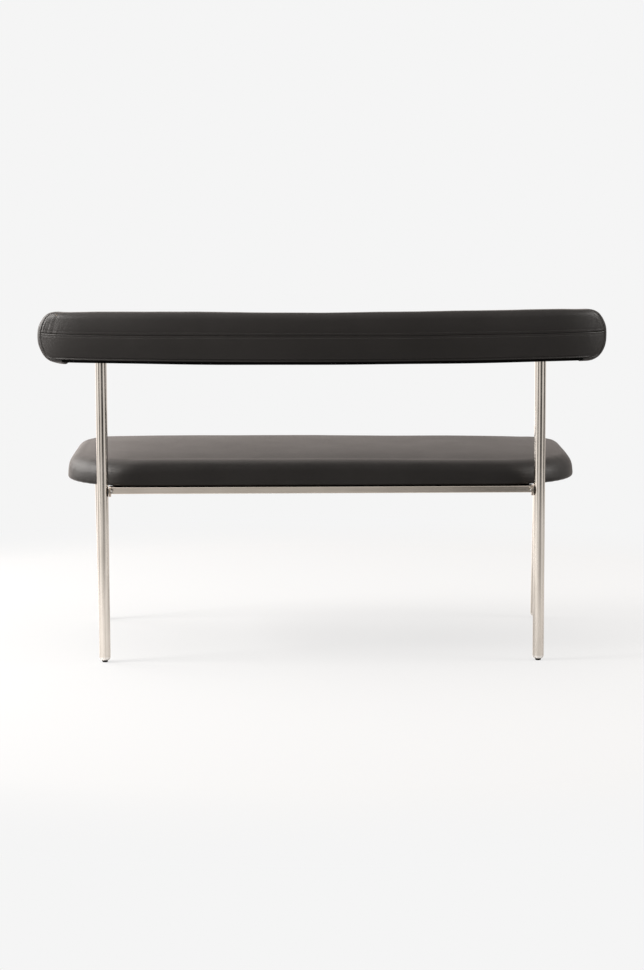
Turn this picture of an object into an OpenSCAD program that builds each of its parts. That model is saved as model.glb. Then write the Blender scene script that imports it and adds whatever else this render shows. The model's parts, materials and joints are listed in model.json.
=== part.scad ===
/* [Frame] */
// Outer diameter of every leg tube
leg_d = 25; // [20:0.5:30]
// Wall of every leg tube
leg_wall = 1.5; // [1:0.1:2.5]
// Distance from the seat's ends in to the rear legs' axes
rear_leg_inset = 92; // [75:1:130]
// Distance from the seat's ends in to the front legs' axes
front_leg_inset = 53; // [50:1:70]
// Distance from the seat's front edge forward to the front feet
foot_reach = 21; // [4:1:34]
// Forward rake of the front legs, in degrees
front_rake = 9; // [7:0.5:11]
// Width of every flat tube in the underframe
rail_w = 30; // [20:1:36]
// Height of every flat tube in the underframe
rail_h = 15; // [12:0.5:20]
// Wall of every flat tube in the underframe
rail_wall = 1.5; // [1:0.1:2]
// Height of the underframe's upper face above the floor
rail_top_z = 392; // [380:1:410]
// Distance from the rear legs' axes forward to the rear rail's rear face
rail_setback = 12; // [8:1:16]
// Distance from the seat's front edge back to the front rail's front face
front_rail_inset = 64; // [56:1:100]
// Thickness of the upright ears at the rear rail's ends
ear_t = 4.5; // [3:0.5:6]
// Radius of the ears' round ends
ear_r = 12; // [10:0.5:14]
// Thickness of the spacer between an ear and its leg, at its middle
saddle_t = 1.3; // [0.8:0.1:3]
// Side of the mounting plates on the front legs
plate_w = 68; // [60:1:72]
// Thickness of the mounting plates
plate_t = 4; // [3:0.5:6]
// Corner radius of the mounting plates
plate_r = 14; // [8:1:18]
// Distance from a mounting plate's middle out to its leg's axis, sideways
plate_leg_dx = 13; // [10:1:15]
// Distance from a mounting plate's middle forward to its leg's axis
plate_leg_dy = 19; // [15:1:20]

/* [Feet] */
// Height of the rounded metal end of each leg
plug_h = 6.5; // [5:0.5:8]
// Radius of the flat face under each rounded leg end
plug_face_r = 9; // [8.5:0.1:10]
// Height of the black glides
glide_h = 5; // [4:0.5:8]
// Radius of the glides at their upper edge
glide_r = 7.8; // [7:0.1:8.5]
// Radius of the glides' sole
sole_r = 5.8; // [5:0.1:6.5]
// Radius of the glides' stem
glide_stem_r = 4; // [3:0.1:5]

/* [Seat] */
// Half of the seat's length
seat_half_w = 577; // [560:1:600]
// Depth of the seat from rear edge to front edge
seat_depth = 480; // [470:1:500]
// Distance from the rear legs' axes forward to the seat's rear edge
seat_setback = 16; // [14:1:24]
// Corner radius of the seat at the front
seat_front_r = 90; // [80:1:110]
// Corner radius of the seat at the rear
seat_rear_r = 188; // [140:1:210]
// Thickness of the seat at its edge
seat_edge_h = 58; // [50:1:70]
// Rise of the seat's middle above its edge
seat_crown = 8.5; // [4:0.5:14]
// Width of the seat's rounded upper edge
seat_roll_w = 43; // [30:1:50]
// Height of the seat's rounded upper edge
seat_roll_h = 40; // [30:1:42]
// Radius of the seat's lower edge
seat_low_r = 5; // [4:0.5:6]
// Width of the cover's flange under the seat board
flange_w = 24; // [18:1:26]
// Thickness of the seat board
seat_board_t = 12; // [9:0.5:15]
// Thickness of the dust cover under the seat
dust_t = 0.8; // [0.5:0.1:1.2]
// Thickness of the leather-look skin
skin_t = 1.5; // [1.2:0.1:2]

/* [Backrest] */
// Radius of the backrest's curve in plan, at the middle of its thickness
bend_r = 2100; // [1900:10:2400]
// Length by which the backrest, along its curve, passes the seat's ends
back_overhang = 58; // [43:1:83]
// Height of the backrest's lower edge above the floor
back_low_z = 672.5; // [660:0.5:690]
// Height of the backrest section
back_h = 114; // [108:1:124]
// Thickness of the backrest section
back_t = 72; // [68:1:80]
// Corner radius of the backrest's ends, seen from behind
back_end_r = 50; // [48:1:52]
// Radius of the backrest's rear edges
back_rear_r = 16; // [14:0.5:17]
// Radius of the backrest's front edges
back_front_r = 28; // [24:0.5:30]
// Height of the seam across the back above the backrest's middle
seam_rise = 6.5; // [0:0.5:12]
// Bulge of the backrest's rear face
rear_crown = 3; // [1:0.5:4]
// Bulge of the backrest's front face
front_crown = 6; // [3:0.5:8]
// Thickness of the backrest's curved board
back_board_t = 12; // [10:0.5:12]
// Height of the backrest's curved board
back_board_h = 96; // [90:1:104]
// Distance from the board's ends to the backrest's ends, along the curve
board_end_inset = 52; // [36:1:60]
// Depth to which the rear legs reach into the backrest
leg_insertion = 78; // [70:1:86]
// Distance between the two bolts in each leg's upper end
back_bolt_pitch = 34; // [30:1:36]

/* [Fasteners] */
// Radius of the bolts' shanks
bolt_r = 3; // [2.5:0.25:3]
// Radius of the bolts' round heads
head_r = 5.5; // [5:0.25:6]
// Height of the bolts' round heads
head_h = 3.3; // [3:0.1:4]
// Width across corners of the bolts' hexagon sockets
socket_d = 4.6; // [4:0.1:5]
// Radius of the washers
washer_r = 6.5; // [6:0.25:7]
// Thickness of the washers
washer_t = 1.2; // [0.8:0.1:1.6]
// Outer radius of the tee nuts' and rivet nuts' barrels
barrel_r = 4.25; // [4:0.05:4.5]
// Length of the tee nuts' barrels
barrel_l = 9; // [7:0.5:9]
// Radius of the tee nuts' flanges
tee_flange_r = 9; // [8:0.5:10]
// Thickness of the tee nuts' flanges
tee_flange_t = 1.4; // [1:0.1:1.6]
// Length of the rivet nuts in the leg tubes
rivet_nut_l = 9; // [7:0.5:9]
// Length of a staple's crown
staple_l = 10; // [8:0.5:12]
// Thickness of a staple's wire
staple_t = 0.7; // [0.5:0.1:0.9]
// Distance between staples round the dust cover
staple_pitch = 80; // [60:5:120]

/* [Hidden] */
$fn = 48;

// Clearances: between seated hard faces, round soft pieces, and round a shank in its hole
seat_gap = 0.2;
soft_gap = 0.3;
hole_gap = 0.25;
thread_gap = 0.05;
plug_gap = 0.05;
// How far a cutting solid runs past the face that it cuts
overrun = 5;

leg_r = leg_d / 2;
leg_bore_r = leg_r - leg_wall;
hole_r = bolt_r + hole_gap;

// The legs, the underframe and the backrest follow the seat
rear_leg_x = seat_half_w - rear_leg_inset;
front_leg_x = seat_half_w - front_leg_inset;
foot_pitch = seat_setback + seat_depth + foot_reach;
underframe_depth = seat_setback + seat_depth - rail_setback - front_rail_inset;
back_half_l = seat_half_w + back_overhang;

// Grid counts: steps in a corner, steps along a long side, points in one ring
arc_n = 6;
side_n = 10;
half_m = 2 * arc_n + side_n + 2;
grid_m = 2 * half_m;
side_first = half_m + 1 + arc_n;
// How far the grid's chords lie inside a curve: at the seat's widest corner, and along the backrest
facet_sag = seat_rear_r * (1 - cos(45 / arc_n));
bend_step = 2 * (back_half_l - back_end_r) / side_n;
bend_sag = bend_step * bend_step / (8 * bend_r);

// The box round the whole sofa is centred on the origin. Lengths forward run along -Y.
front_reach = foot_pitch - plug_h * sin(front_rake) + leg_r * cos(front_rake);
rear_sag = bend_r - sqrt(bend_r * bend_r - rear_leg_x * rear_leg_x);
rear_reach = back_t / 2 + rear_sag;
leg_y = (front_reach - rear_reach) / 2;
leg_angle = asin(rear_leg_x / bend_r);
bend_y = leg_y - bend_r + rear_sag;

rail_rear_y = leg_y - rail_setback;
rail_front_y = rail_rear_y - underframe_depth;
rail_low_z = rail_top_z - rail_h;
rail_mid_z = rail_top_z - rail_h / 2;
ear_in_x = rear_leg_x - leg_r - saddle_t - ear_t;
side_rail_x = ear_in_x - rail_w / 2;
frame_bolt_inset = rail_w;

foot_y = leg_y - foot_pitch;
leg_top_y = foot_y + (rail_top_z - plate_t - glide_h) * tan(front_rake);
plate_x = front_leg_x - plate_leg_dx;
plate_y = leg_top_y + plate_leg_dy;
plate_bolt_d = plate_w / 2 - washer_r * 1.5;
// The front rail ends flush with the side rails, and clear of the plates
front_rail_half = min(ear_in_x, plate_x - plate_w / 2 - rail_wall - seat_gap);

dust_z = rail_top_z + seat_gap;
seat_z = dust_z + dust_t + seat_gap;
seat_y = leg_y - seat_setback - seat_depth / 2;
board_edge_gap = seat_low_r + facet_sag + soft_gap;
board_z = skin_t + seat_gap;
foam_z = board_z + seat_board_t + soft_gap;

back_mid_z = back_low_z + back_h / 2;
leg_top_z = back_low_z + leg_insertion;
// From the legs' axes back to the board's front and rear faces
board_front = leg_r + seat_gap;
board_back = board_front + back_board_t;
back_bolt_z_shift = [-back_bolt_pitch / 2, back_bolt_pitch / 2];
back_bolt_mid_z = leg_top_z - back_bolt_pitch / 2 - washer_r * 2;

// Shares of the way from a face's middle line to its rim, and angles across rounded edges
rear_face_shares = [0, 0.45, 0.8];
front_face_shares = [0.75, 0.4, 0];
seat_face_shares = [0.8, 0.55, 0.28, 0];
foam_face_shares = [0.7, 0.35, 0];
seam_angle = 40;
rear_edge_angles = [0, seam_angle, 65, 90];
front_edge_angles = [90, 60, 30, 0];
seat_edge_angles = [90, 67.5, 45, 22.5, 0];
low_edge_angles = [0, 45, 90];

// Rows of the backrest's grid at which its panels meet
seam_row = 4;
strip_row = 8;

function mirrored(j) = (grid_m - j) % grid_m;
function arc_points(cu, cv, r, start) =
    [for (i = [0:arc_n]) [cu + r * cos(start + 90 * i / arc_n), cv + r * sin(start + 90 * i / arc_n)]];
function run_points(u0, u1, v) = [for (i = [1:side_n - 1]) [u0 + (u1 - u0) * i / side_n, v]];

// A rounded rectangle drawn in by o.
// A pad is [half length, half width, radius at +v, radius at -v, v of its middle line].
function outline(pad, o) =
    let (hu = pad[0], hv = pad[1], rp = pad[2], rn = pad[3])
    concat(
        [[hu - o, 0]],
        arc_points(hu - rp, hv - rp, rp - o, 0),
        run_points(hu - rp, rp - hu, hv - o),
        arc_points(rp - hu, hv - rp, rp - o, 90),
        [[o - hu, 0]],
        arc_points(rn - hu, rn - hv, rn - o, 180),
        run_points(rn - hu, hu - rn, o - hv),
        arc_points(hu - rn, rn - hv, rn - o, 270)
    );

// One ring of a pad: a row is [share k of the way out from the middle line, inset o, height w]
function ring(pad, row) =
    let (rim = outline(pad, row[1]), k = row[0], shrink = (pad[0] - pad[1]) / pad[0], v0 = pad[4])
    [for (j = [0:grid_m - 1])
        let (mid = (rim[j][0] + rim[mirrored(j)][0]) / 2 * shrink)
        [mid + (rim[j][0] - mid) * k, v0 + (rim[j][1] - v0) * k, row[2]]];
function rings(pad, rows) = [for (row = rows) each ring(pad, row)];

// The backrest's pad is bent about the upright axis of its curve, with w pointing to the rear
function bent(points) = [for (p = points)
    let (turn = p[0] / bend_r * 180 / PI)
    [(bend_r + p[2]) * sin(turn), bend_y + (bend_r + p[2]) * cos(turn), back_mid_z + p[1]]];
function seat_placed(points) = [for (p = points) [p[0], seat_y + p[1], seat_z + p[2]]];

// Rows for a skin's face at inset i from the outer surface
seat_pad = [seat_half_w, seat_depth / 2, seat_rear_r, seat_front_r, 0];
back_pad = [back_half_l, back_h / 2, back_end_r, back_end_r, seam_rise];
function seat_roll_rows(i, angles) = [for (a = angles)
    [1, seat_roll_w - (seat_roll_w - i) * sin(a), seat_edge_h - seat_roll_h + (seat_roll_h - i) * cos(a)]];
function seat_face_rows(i, shares) = [for (k = shares)
    [k, seat_roll_w, seat_edge_h - i + seat_crown * (1 - k * k)]];
function seat_skin_rows(i) = concat(
    [[1, flange_w, i]],
    [for (a = low_edge_angles)
        let (r = seat_low_r - i)
        [1, seat_low_r - r * sin(a), seat_low_r - r * cos(a)]],
    seat_roll_rows(i, seat_edge_angles),
    seat_face_rows(i, seat_face_shares)
);
function rear_face_rows(i, shares) = [for (k = shares)
    [k, back_rear_r, back_t / 2 - i - rear_crown * k * k]];
function rear_edge_rows(i, angles) = [for (a = angles)
    [1, back_rear_r - (back_rear_r - i) * sin(a),
        back_t / 2 - rear_crown - back_rear_r + (back_rear_r - i) * cos(a)]];
function front_edge_rows(i, angles) = [for (a = angles)
    [1, back_front_r - (back_front_r - i) * sin(a),
        back_front_r + front_crown - back_t / 2 - (back_front_r - i) * cos(a)]];
function front_face_rows(i, shares) = [for (k = shares)
    [k, back_front_r, i - back_t / 2 + front_crown * k * k]];
function back_skin_rows(i) = concat(
    rear_face_rows(i, rear_face_shares),
    rear_edge_rows(i, rear_edge_angles),
    front_edge_rows(i, front_edge_angles),
    front_face_rows(i, front_face_shares)
);

// Faces: the point at row r and column j of a layer; the rows at k = 0 fold onto the middle line
function folded(rows, r) = rows[r][0] == 0;
function at(rows, layer, r, j) =
    let (c = j % grid_m, f = folded(rows, r) ? min(c, grid_m - c) : c)
    (layer * len(rows) + r) * grid_m + f;
function quad(a, b, c, d, flip) = flip ? [[a, c, b], [a, d, c]] : [[a, b, c], [a, c, d]];
function last_cell(rows) = len(rows) - 2;
// A cell of the outer layer, a cell of the inner layer, and rims along a row and along a column
function outer_cell(rows, r, j, flip) =
    quad(at(rows, 0, r, j), at(rows, 0, r + 1, j), at(rows, 0, r + 1, j + 1), at(rows, 0, r, j + 1), flip);
function inner_cell(rows, r, j, flip) =
    quad(at(rows, 1, r, j), at(rows, 1, r, j + 1), at(rows, 1, r + 1, j + 1), at(rows, 1, r + 1, j), flip);
function row_rim(rows, r, j, flip) =
    quad(at(rows, 0, r, j), at(rows, 0, r, j + 1), at(rows, 1, r, j + 1), at(rows, 1, r, j), flip);
function column_rim(rows, r, j, flip) =
    quad(at(rows, 0, r + 1, j), at(rows, 0, r, j), at(rows, 1, r, j), at(rows, 1, r + 1, j), flip);
// True where the cell across a row's edge belongs to the same piece
function past_row(rows, has, r, j, step) =
    let (n = r + step, last = last_cell(rows))
    n < 0 ? (folded(rows, 0) && has(0, grid_m - 1 - j))
        : n > last ? (folded(rows, last + 1) && has(last, grid_m - 1 - j)) : has(n, j);
function skin_faces(rows, has, flip) = [for (r = [0:last_cell(rows)], j = [0:grid_m - 1]) if (has(r, j))
    each concat(
        outer_cell(rows, r, j, flip),
        inner_cell(rows, r, j, flip),
        past_row(rows, has, r, j, -1) ? [] : row_rim(rows, r, j, flip),
        past_row(rows, has, r, j, 1) ? [] : row_rim(rows, r + 1, j, !flip),
        has(r, (j + grid_m - 1) % grid_m) ? [] : column_rim(rows, r, j, flip),
        has(r, (j + 1) % grid_m) ? [] : column_rim(rows, r, j + 1, !flip)
    )];
function solid_faces(rows, flip) = [for (r = [0:last_cell(rows)], j = [0:grid_m - 1])
    each outer_cell(rows, r, j, flip)];

// Panels of the backrest's skin
in_upper_back = function (r, j) r < seam_row && j < half_m;
in_lower_back = function (r, j) r < seam_row && j >= half_m;
in_strip = function (r, j) r >= seam_row && r < strip_row && j >= side_first && j < side_first + side_n;
in_front = function (r, j) r >= seam_row && !in_strip(r, j);
everywhere = function (r, j) true;

module back_skin(has) {
    rows = back_skin_rows(0);
    points = concat(rings(back_pad, rows), rings(back_pad, back_skin_rows(skin_t)));
    polyhedron(bent(points), skin_faces(rows, has, true));
}

// Frame pieces
module leg_tube(length) {
    difference() {
        cylinder(h = length, r = leg_r);
        translate([0, 0, -overrun]) cylinder(h = length + 2 * overrun, r = leg_bore_r);
    }
}
module turned_bolt_holes(side) {
    for (dz = back_bolt_z_shift)
        translate([0, 0, back_bolt_mid_z + dz]) rotate([0, 0, -side * leg_angle]) rotate([-90, 0, 0])
            cylinder(h = leg_r + overrun, r = barrel_r + hole_gap);
}
module rear_leg(side) {
    color("silver") translate([side * rear_leg_x, leg_y, 0]) difference() {
        translate([0, 0, glide_h + plug_h]) leg_tube(leg_top_z - glide_h - plug_h);
        turned_bolt_holes(side);
        translate([0, 0, rail_mid_z]) rotate([0, -side * 90, 0])
            cylinder(h = leg_r + overrun, r = barrel_r + hole_gap);
    }
}
module on_front_leg(side) {
    translate([side * front_leg_x, foot_y, glide_h]) rotate([-front_rake, 0, 0]) children();
}
module front_leg(side) {
    color("silver") difference() {
        on_front_leg(side) translate([0, 0, plug_h]) leg_tube(rail_top_z);
        translate([side * front_leg_x - leg_d, foot_y - leg_d, rail_top_z - plate_t])
            cube([2 * leg_d, foot_pitch, rail_top_z]);
    }
}
module plug_shape() {
    dome_w = leg_r - plug_face_r;
    difference() {
        union() {
            rotate_extrude() polygon(concat(
                [[0, plug_h], [0, 0]],
                [for (a = [90:-15:0]) [plug_face_r + dome_w * cos(a), plug_h - plug_h * sin(a)]]
            ));
            translate([0, 0, plug_h]) cylinder(h = leg_r, r = leg_bore_r - plug_gap);
        }
        translate([0, 0, -overrun]) cylinder(h = leg_d + overrun, r = glide_stem_r + plug_gap);
    }
}
module glide_shape(rake) {
    stem_l = leg_r * 1.2;
    root_l = glide_h / 2;
    difference() {
        cylinder(h = glide_h + glide_r * tan(front_rake), r1 = sole_r, r2 = glide_r);
        translate([0, 0, glide_h]) rotate([-rake, 0, 0]) translate([-leg_d, -leg_d, 0])
            cube([2 * leg_d, 2 * leg_d, leg_d]);
    }
    translate([0, 0, glide_h]) rotate([-rake, 0, 0]) translate([0, 0, -root_l])
        cylinder(h = stem_l + root_l, r = glide_stem_r);
}
module rear_plug(side) {
    color("silver") translate([side * rear_leg_x, leg_y, glide_h]) plug_shape();
}
module front_plug(side) {
    color("silver") on_front_leg(side) plug_shape();
}
module rear_glide(side) {
    color("black") translate([side * rear_leg_x, leg_y, 0]) glide_shape(0);
}
module front_glide(side) {
    color("black") translate([side * front_leg_x, foot_y, 0]) glide_shape(front_rake);
}
module leg_top_caps() {
    cap_t = leg_wall;
    color("dimgray") for (side = [-1, 1]) translate([side * rear_leg_x, leg_y, leg_top_z]) {
        cylinder(h = cap_t, r = leg_r);
        translate([0, 0, -leg_wall * 3]) cylinder(h = leg_wall * 3, r = leg_bore_r - plug_gap);
    }
}

// A rivet nut stands in a hole in a tube's wall, with its mouth flush with the tube
module rivet_nut_shape() {
    difference() {
        cylinder(h = rivet_nut_l, r = barrel_r);
        translate([0, 0, -overrun]) cylinder(h = rivet_nut_l + 2 * overrun, r = bolt_r + thread_gap);
    }
}
module at_back_bolts(side) {
    for (dz = back_bolt_z_shift)
        translate([side * rear_leg_x, leg_y, back_bolt_mid_z + dz])
            rotate([0, 0, -side * leg_angle]) rotate([-90, 0, 0]) children();
}
module at_ear_bolt(side) {
    translate([side * rear_leg_x, leg_y, rail_mid_z]) rotate([0, -side * 90, 0]) children();
}
module leg_rivet_nuts() {
    color("gainsboro") for (side = [-1, 1]) {
        at_back_bolts(side) translate([0, 0, leg_r - rivet_nut_l - leg_wall / 2]) rivet_nut_shape();
        at_ear_bolt(side) translate([0, 0, leg_r - rivet_nut_l - leg_wall / 2]) rivet_nut_shape();
    }
}

// Bolts stand with their head's underside at z = 0 and their shank along -Z
module bolt_shape(shank_l) {
    translate([0, 0, -shank_l]) cylinder(h = shank_l, r = bolt_r);
    difference() {
        cylinder(h = head_h, r1 = head_r, r2 = head_r * 0.6);
        translate([0, 0, head_h / 3]) cylinder(h = head_h, d = socket_d, $fn = 6);
    }
}
module washer_shape() {
    difference() {
        cylinder(h = washer_t, r = washer_r);
        translate([0, 0, -overrun]) cylinder(h = washer_t + 2 * overrun, r = hole_r);
    }
}

// Underframe
module rail_shape(length) {
    rail_edge_r = rail_wall;
    difference() {
        cube([length, rail_w, rail_h]);
        translate([-overrun, rail_wall, rail_wall])
            cube([length + 2 * overrun, rail_w - 2 * rail_wall, rail_h - 2 * rail_wall]);
        for (y = [0, rail_w], z = [0, rail_h])
            edge_round(length, rail_edge_r, y, z);
    }
}
// Takes the sharp edge off a rail's long corner
module edge_round(length, r, y, z) {
    sy = y == 0 ? 1 : -1;
    sz = z == 0 ? 1 : -1;
    translate([-overrun, y, z]) rotate([90, 0, 90]) linear_extrude(length + 2 * overrun)
        difference() {
            translate([-sy * r, -sz * r]) square_at(sy, sz, 2 * r);
            translate([sy * r, sz * r]) circle(r = r);
        }
}
module square_at(sy, sz, side) {
    translate([sy < 0 ? -side : 0, sz < 0 ? -side : 0]) square([side, side]);
}
module rail_bolt_holes() {
    for (p = frame_bolt_places())
        translate([p[0], p[1], rail_low_z - overrun]) cylinder(h = rail_h + 2 * overrun, r = hole_r);
}
bolt_row_ys = [rail_rear_y - rail_w - frame_bolt_inset, rail_front_y + rail_w + frame_bolt_inset];
function frame_bolt_places() = concat(
    [for (x = [-side_rail_x, side_rail_x, 0], y = bolt_row_ys) [x, y]],
    [for (sx = [-1, 1]) [sx * side_rail_x / 2, rail_front_y + rail_w / 2]]
);
module cross_rail(half_l, y_low) {
    color("silver") difference() {
        translate([-half_l, y_low, rail_low_z]) rail_shape(2 * half_l);
        rail_bolt_holes();
    }
}
module fore_aft_rail(x) {
    color("silver") difference() {
        translate([x + rail_w / 2, rail_front_y + rail_w, rail_low_z]) rotate([0, 0, 90])
            rail_shape(underframe_depth - 2 * rail_w);
        rail_bolt_holes();
    }
}
module rail_end_caps() {
    cap_t = rail_wall;
    cap_gap = rail_wall + plug_gap;
    color("black") for (side = [-1, 1]) translate([side * front_rail_half, rail_front_y, rail_low_z])
        mirror([side < 0 ? 1 : 0, 0, 0]) {
            cube([cap_t, rail_w, rail_h]);
            translate([-rail_w / 3, cap_gap, cap_gap])
                cube([rail_w / 3, rail_w - 2 * cap_gap, rail_h - 2 * cap_gap]);
        }
}
module rail_ear(side) {
    color("silver") translate([side < 0 ? -ear_in_x - ear_t : ear_in_x, 0, 0]) difference() {
        union() {
            translate([0, leg_y, rail_mid_z]) rotate([0, 90, 0]) cylinder(h = ear_t, r = ear_r);
            translate([0, rail_rear_y - rail_w, rail_low_z]) cube([ear_t, rail_w + rail_setback, rail_h]);
        }
        translate([-overrun, leg_y, rail_mid_z]) rotate([0, 90, 0])
            cylinder(h = ear_t + 2 * overrun, r = hole_r);
    }
}
module ear_saddles() {
    color("black") for (side = [-1, 1]) difference() {
        at_ear_bolt(side) translate([0, 0, leg_r * 0.8]) cylinder(h = leg_r * 0.2 + saddle_t, r = washer_r);
        translate([side * rear_leg_x, leg_y, 0]) cylinder(h = rail_top_z + leg_d, r = leg_r);
        at_ear_bolt(side) cylinder(h = leg_d, r = hole_r);
    }
}
module ear_bolts() {
    color("dimgray") for (side = [-1, 1])
        at_ear_bolt(side) translate([0, 0, leg_r + saddle_t + ear_t])
            bolt_shape(saddle_t + ear_t + rivet_nut_l);
}
module front_leg_plate(side) {
    color("silver") translate([side * plate_x, plate_y, rail_top_z - plate_t]) difference() {
        linear_extrude(plate_t) rounded_plate(plate_w / 2, plate_w / 2, plate_r, plate_r);
        for (p = plate_bolt_places(side))
            translate([p[0], p[1], -overrun]) cylinder(h = plate_t + 2 * overrun, r = hole_r);
    }
}
// Three bolts a plate, from its middle; the fourth corner holds the leg
function plate_bolt_places(side) = [for (c = [[-1, -1], [-1, 1], [1, 1]])
    [side * c[0] * plate_bolt_d, c[1] * plate_bolt_d]];
function all_plate_bolts() = [for (side = [-1, 1], p = plate_bolt_places(side))
    [side * plate_x + p[0], plate_y + p[1]]];
module rounded_plate(hu, hv, rp, rn) {
    for (su = [-1, 1]) {
        translate([su * (hu - rp), hv - rp]) circle(r = rp);
        translate([su * (hu - rn), rn - hv]) circle(r = rn);
    }
    polygon([[hu, hv - rp], [hu - rp, hv], [rp - hu, hv], [-hu, hv - rp],
        [-hu, rn - hv], [rn - hu, -hv], [hu - rn, -hv], [hu, rn - hv]]);
}
module bolts_up(places, head_z) {
    shank_top = seat_z + board_z + seat_board_t - tee_flange_t;
    for (p = places) translate([p[0], p[1], head_z]) mirror([0, 0, 1]) bolt_shape(shank_top - head_z);
}
module underframe_bolts() {
    color("dimgray") bolts_up(frame_bolt_places(), rail_low_z - washer_t);
}
module leg_plate_bolts() {
    color("dimgray") bolts_up(all_plate_bolts(), rail_top_z - plate_t - washer_t);
}
module bolt_washers() {
    color("lightgray") {
        for (p = frame_bolt_places()) translate([p[0], p[1], rail_low_z - washer_t]) washer_shape();
        for (p = all_plate_bolts())
            translate([p[0], p[1], rail_top_z - plate_t - washer_t]) washer_shape();
        for (side = [-1, 1]) at_back_bolts(side) translate([0, 0, board_back]) washer_shape();
    }
}

// Seat
module seat_plate(o, z, h) {
    translate([0, seat_y, seat_z + z]) linear_extrude(h)
        rounded_plate(seat_half_w - o, seat_depth / 2 - o, seat_rear_r - o, seat_front_r - o);
}
module seat_board() {
    board_top = seat_z + board_z + seat_board_t;
    color("burlywood") difference() {
        seat_plate(board_edge_gap, board_z, seat_board_t);
        for (p = concat(frame_bolt_places(), all_plate_bolts())) translate([p[0], p[1], 0]) {
            cylinder(h = board_top + overrun, r = barrel_r + hole_gap);
            translate([0, 0, board_top - tee_flange_t]) cylinder(h = overrun, r = tee_flange_r + hole_gap);
        }
    }
}
module board_tee_nuts() {
    board_top = seat_z + board_z + seat_board_t;
    color("gainsboro") for (p = concat(frame_bolt_places(), all_plate_bolts()))
        translate([p[0], p[1], board_top]) difference() {
            union() {
                translate([0, 0, -tee_flange_t]) cylinder(h = tee_flange_t, r = tee_flange_r);
                translate([0, 0, -tee_flange_t - barrel_l])
                    cylinder(h = barrel_l + tee_flange_t / 2, r = barrel_r);
            }
            translate([0, 0, -barrel_l - overrun])
                cylinder(h = barrel_l + 2 * overrun, r = bolt_r + thread_gap);
        }
}
module seat_foam() {
    skirt_z = seat_low_r + soft_gap;
    i = skin_t + soft_gap;
    rows = concat(
        [[0, seat_low_r, foam_z], [1, seat_low_r, foam_z], [1, seat_low_r, skirt_z], [1, i, skirt_z]],
        seat_roll_rows(i, seat_edge_angles),
        seat_face_rows(i, foam_face_shares)
    );
    color("khaki") polyhedron(seat_placed(rings(seat_pad, rows)), solid_faces(rows, false));
}
module seat_cover() {
    rows = seat_skin_rows(0);
    points = concat(rings(seat_pad, rows), rings(seat_pad, seat_skin_rows(skin_t)));
    color([0.27, 0.25, 0.24]) polyhedron(seat_placed(points), skin_faces(rows, everywhere, false));
}
module seat_dust_cover() {
    color("black") difference() {
        seat_plate(flange_w - 2 * dust_edge, -dust_t - seat_gap, dust_t);
        for (p = concat(frame_bolt_places(), all_plate_bolts()))
            translate([p[0], p[1], 0]) cylinder(h = seat_z + seat_board_t, r = hole_r);
    }
}
// The dust cover's rim lies this far inside the cover's flange, and the staples half as far again
dust_edge = flange_w / 6;
function staple_run(half_l) =
    let (count = max(1, floor(2 * half_l / staple_pitch)))
    [for (i = [0:count]) -half_l + 2 * half_l * i / count];
module staple_shape() {
    translate([-staple_l / 2, -staple_t / 2, -staple_t]) cube([staple_l, staple_t, staple_t]);
}
module dust_cover_staples() {
    inset = flange_w - dust_edge;
    side_half = (seat_depth - seat_front_r - seat_rear_r) / 2;
    side_y = seat_y + (seat_front_r - seat_rear_r) / 2;
    color("gainsboro") translate([0, 0, seat_z - seat_gap - dust_t]) {
        for (x = staple_run(ear_in_x - rail_w - staple_l)) if (abs(x) > rail_w)
            translate([x, rail_rear_y - rail_w - staple_l, 0]) staple_shape();
        for (x = staple_run(seat_half_w - seat_front_r))
            translate([x, seat_y - seat_depth / 2 + inset, 0]) staple_shape();
        for (sx = [-1, 1], y = staple_run(side_half))
            translate([sx * (seat_half_w - inset), side_y + y, 0]) rotate([0, 0, 90]) staple_shape();
    }
}

// Backrest
module backrest_board() {
    half_turn = (back_half_l - board_end_inset) / bend_r * 180 / PI;
    color("burlywood") difference() {
        translate([0, bend_y, back_mid_z - back_board_h / 2]) rotate([0, 0, 90 - half_turn])
            rotate_extrude(angle = 2 * half_turn, $fn = 240)
                translate([bend_r + board_front, 0]) square([back_board_t, back_board_h]);
        for (side = [-1, 1]) at_back_bolts(side)
            cylinder(h = board_back + overrun, r = hole_r);
    }
}
module backrest_bolts() {
    head_at = board_back + washer_t;
    color("dimgray") for (side = [-1, 1])
        at_back_bolts(side) translate([0, 0, head_at]) bolt_shape(head_at - leg_r + rivet_nut_l);
}
module backrest_front_foam() {
    i = skin_t + soft_gap;
    rear = leg_r - soft_gap;
    pocket_r = leg_r + soft_gap;
    rows = concat(
        [[0, i, rear], [1, i, rear]],
        front_edge_rows(i, front_edge_angles),
        front_face_rows(i, front_face_shares)
    );
    color("khaki") difference() {
        polyhedron(bent(rings(back_pad, rows)), solid_faces(rows, true));
        for (side = [-1, 1]) translate([side * rear_leg_x, leg_y, back_low_z - overrun])
            cylinder(h = leg_top_z - back_low_z + 2 * overrun, r = pocket_r);
    }
}
module backrest_back_foam() {
    i = skin_t + 2 * soft_gap;
    front = board_back + soft_gap + bend_sag;
    edge_w = back_t / 2 - rear_crown - back_rear_r;
    start = acos((front - edge_w) / (back_rear_r - i));
    rows = concat(
        [[0, i, front]],
        rear_edge_rows(i, [start, seam_angle, 0]),
        rear_face_rows(i, [0.6, 0])
    );
    color("khaki") difference() {
        polyhedron(bent(rings(back_pad, rows)), solid_faces(rows, false));
        for (side = [-1, 1]) at_back_bolts(side) translate([0, 0, leg_r])
            cylinder(h = board_back - leg_r + washer_t + head_h + soft_gap, r = washer_r + soft_gap);
    }
}
module backrest_front_cover() {
    color([0.18, 0.17, 0.16]) back_skin(in_front);
}
module backrest_upper_back_panel() {
    color([0.17, 0.16, 0.15]) back_skin(in_upper_back);
}
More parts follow.
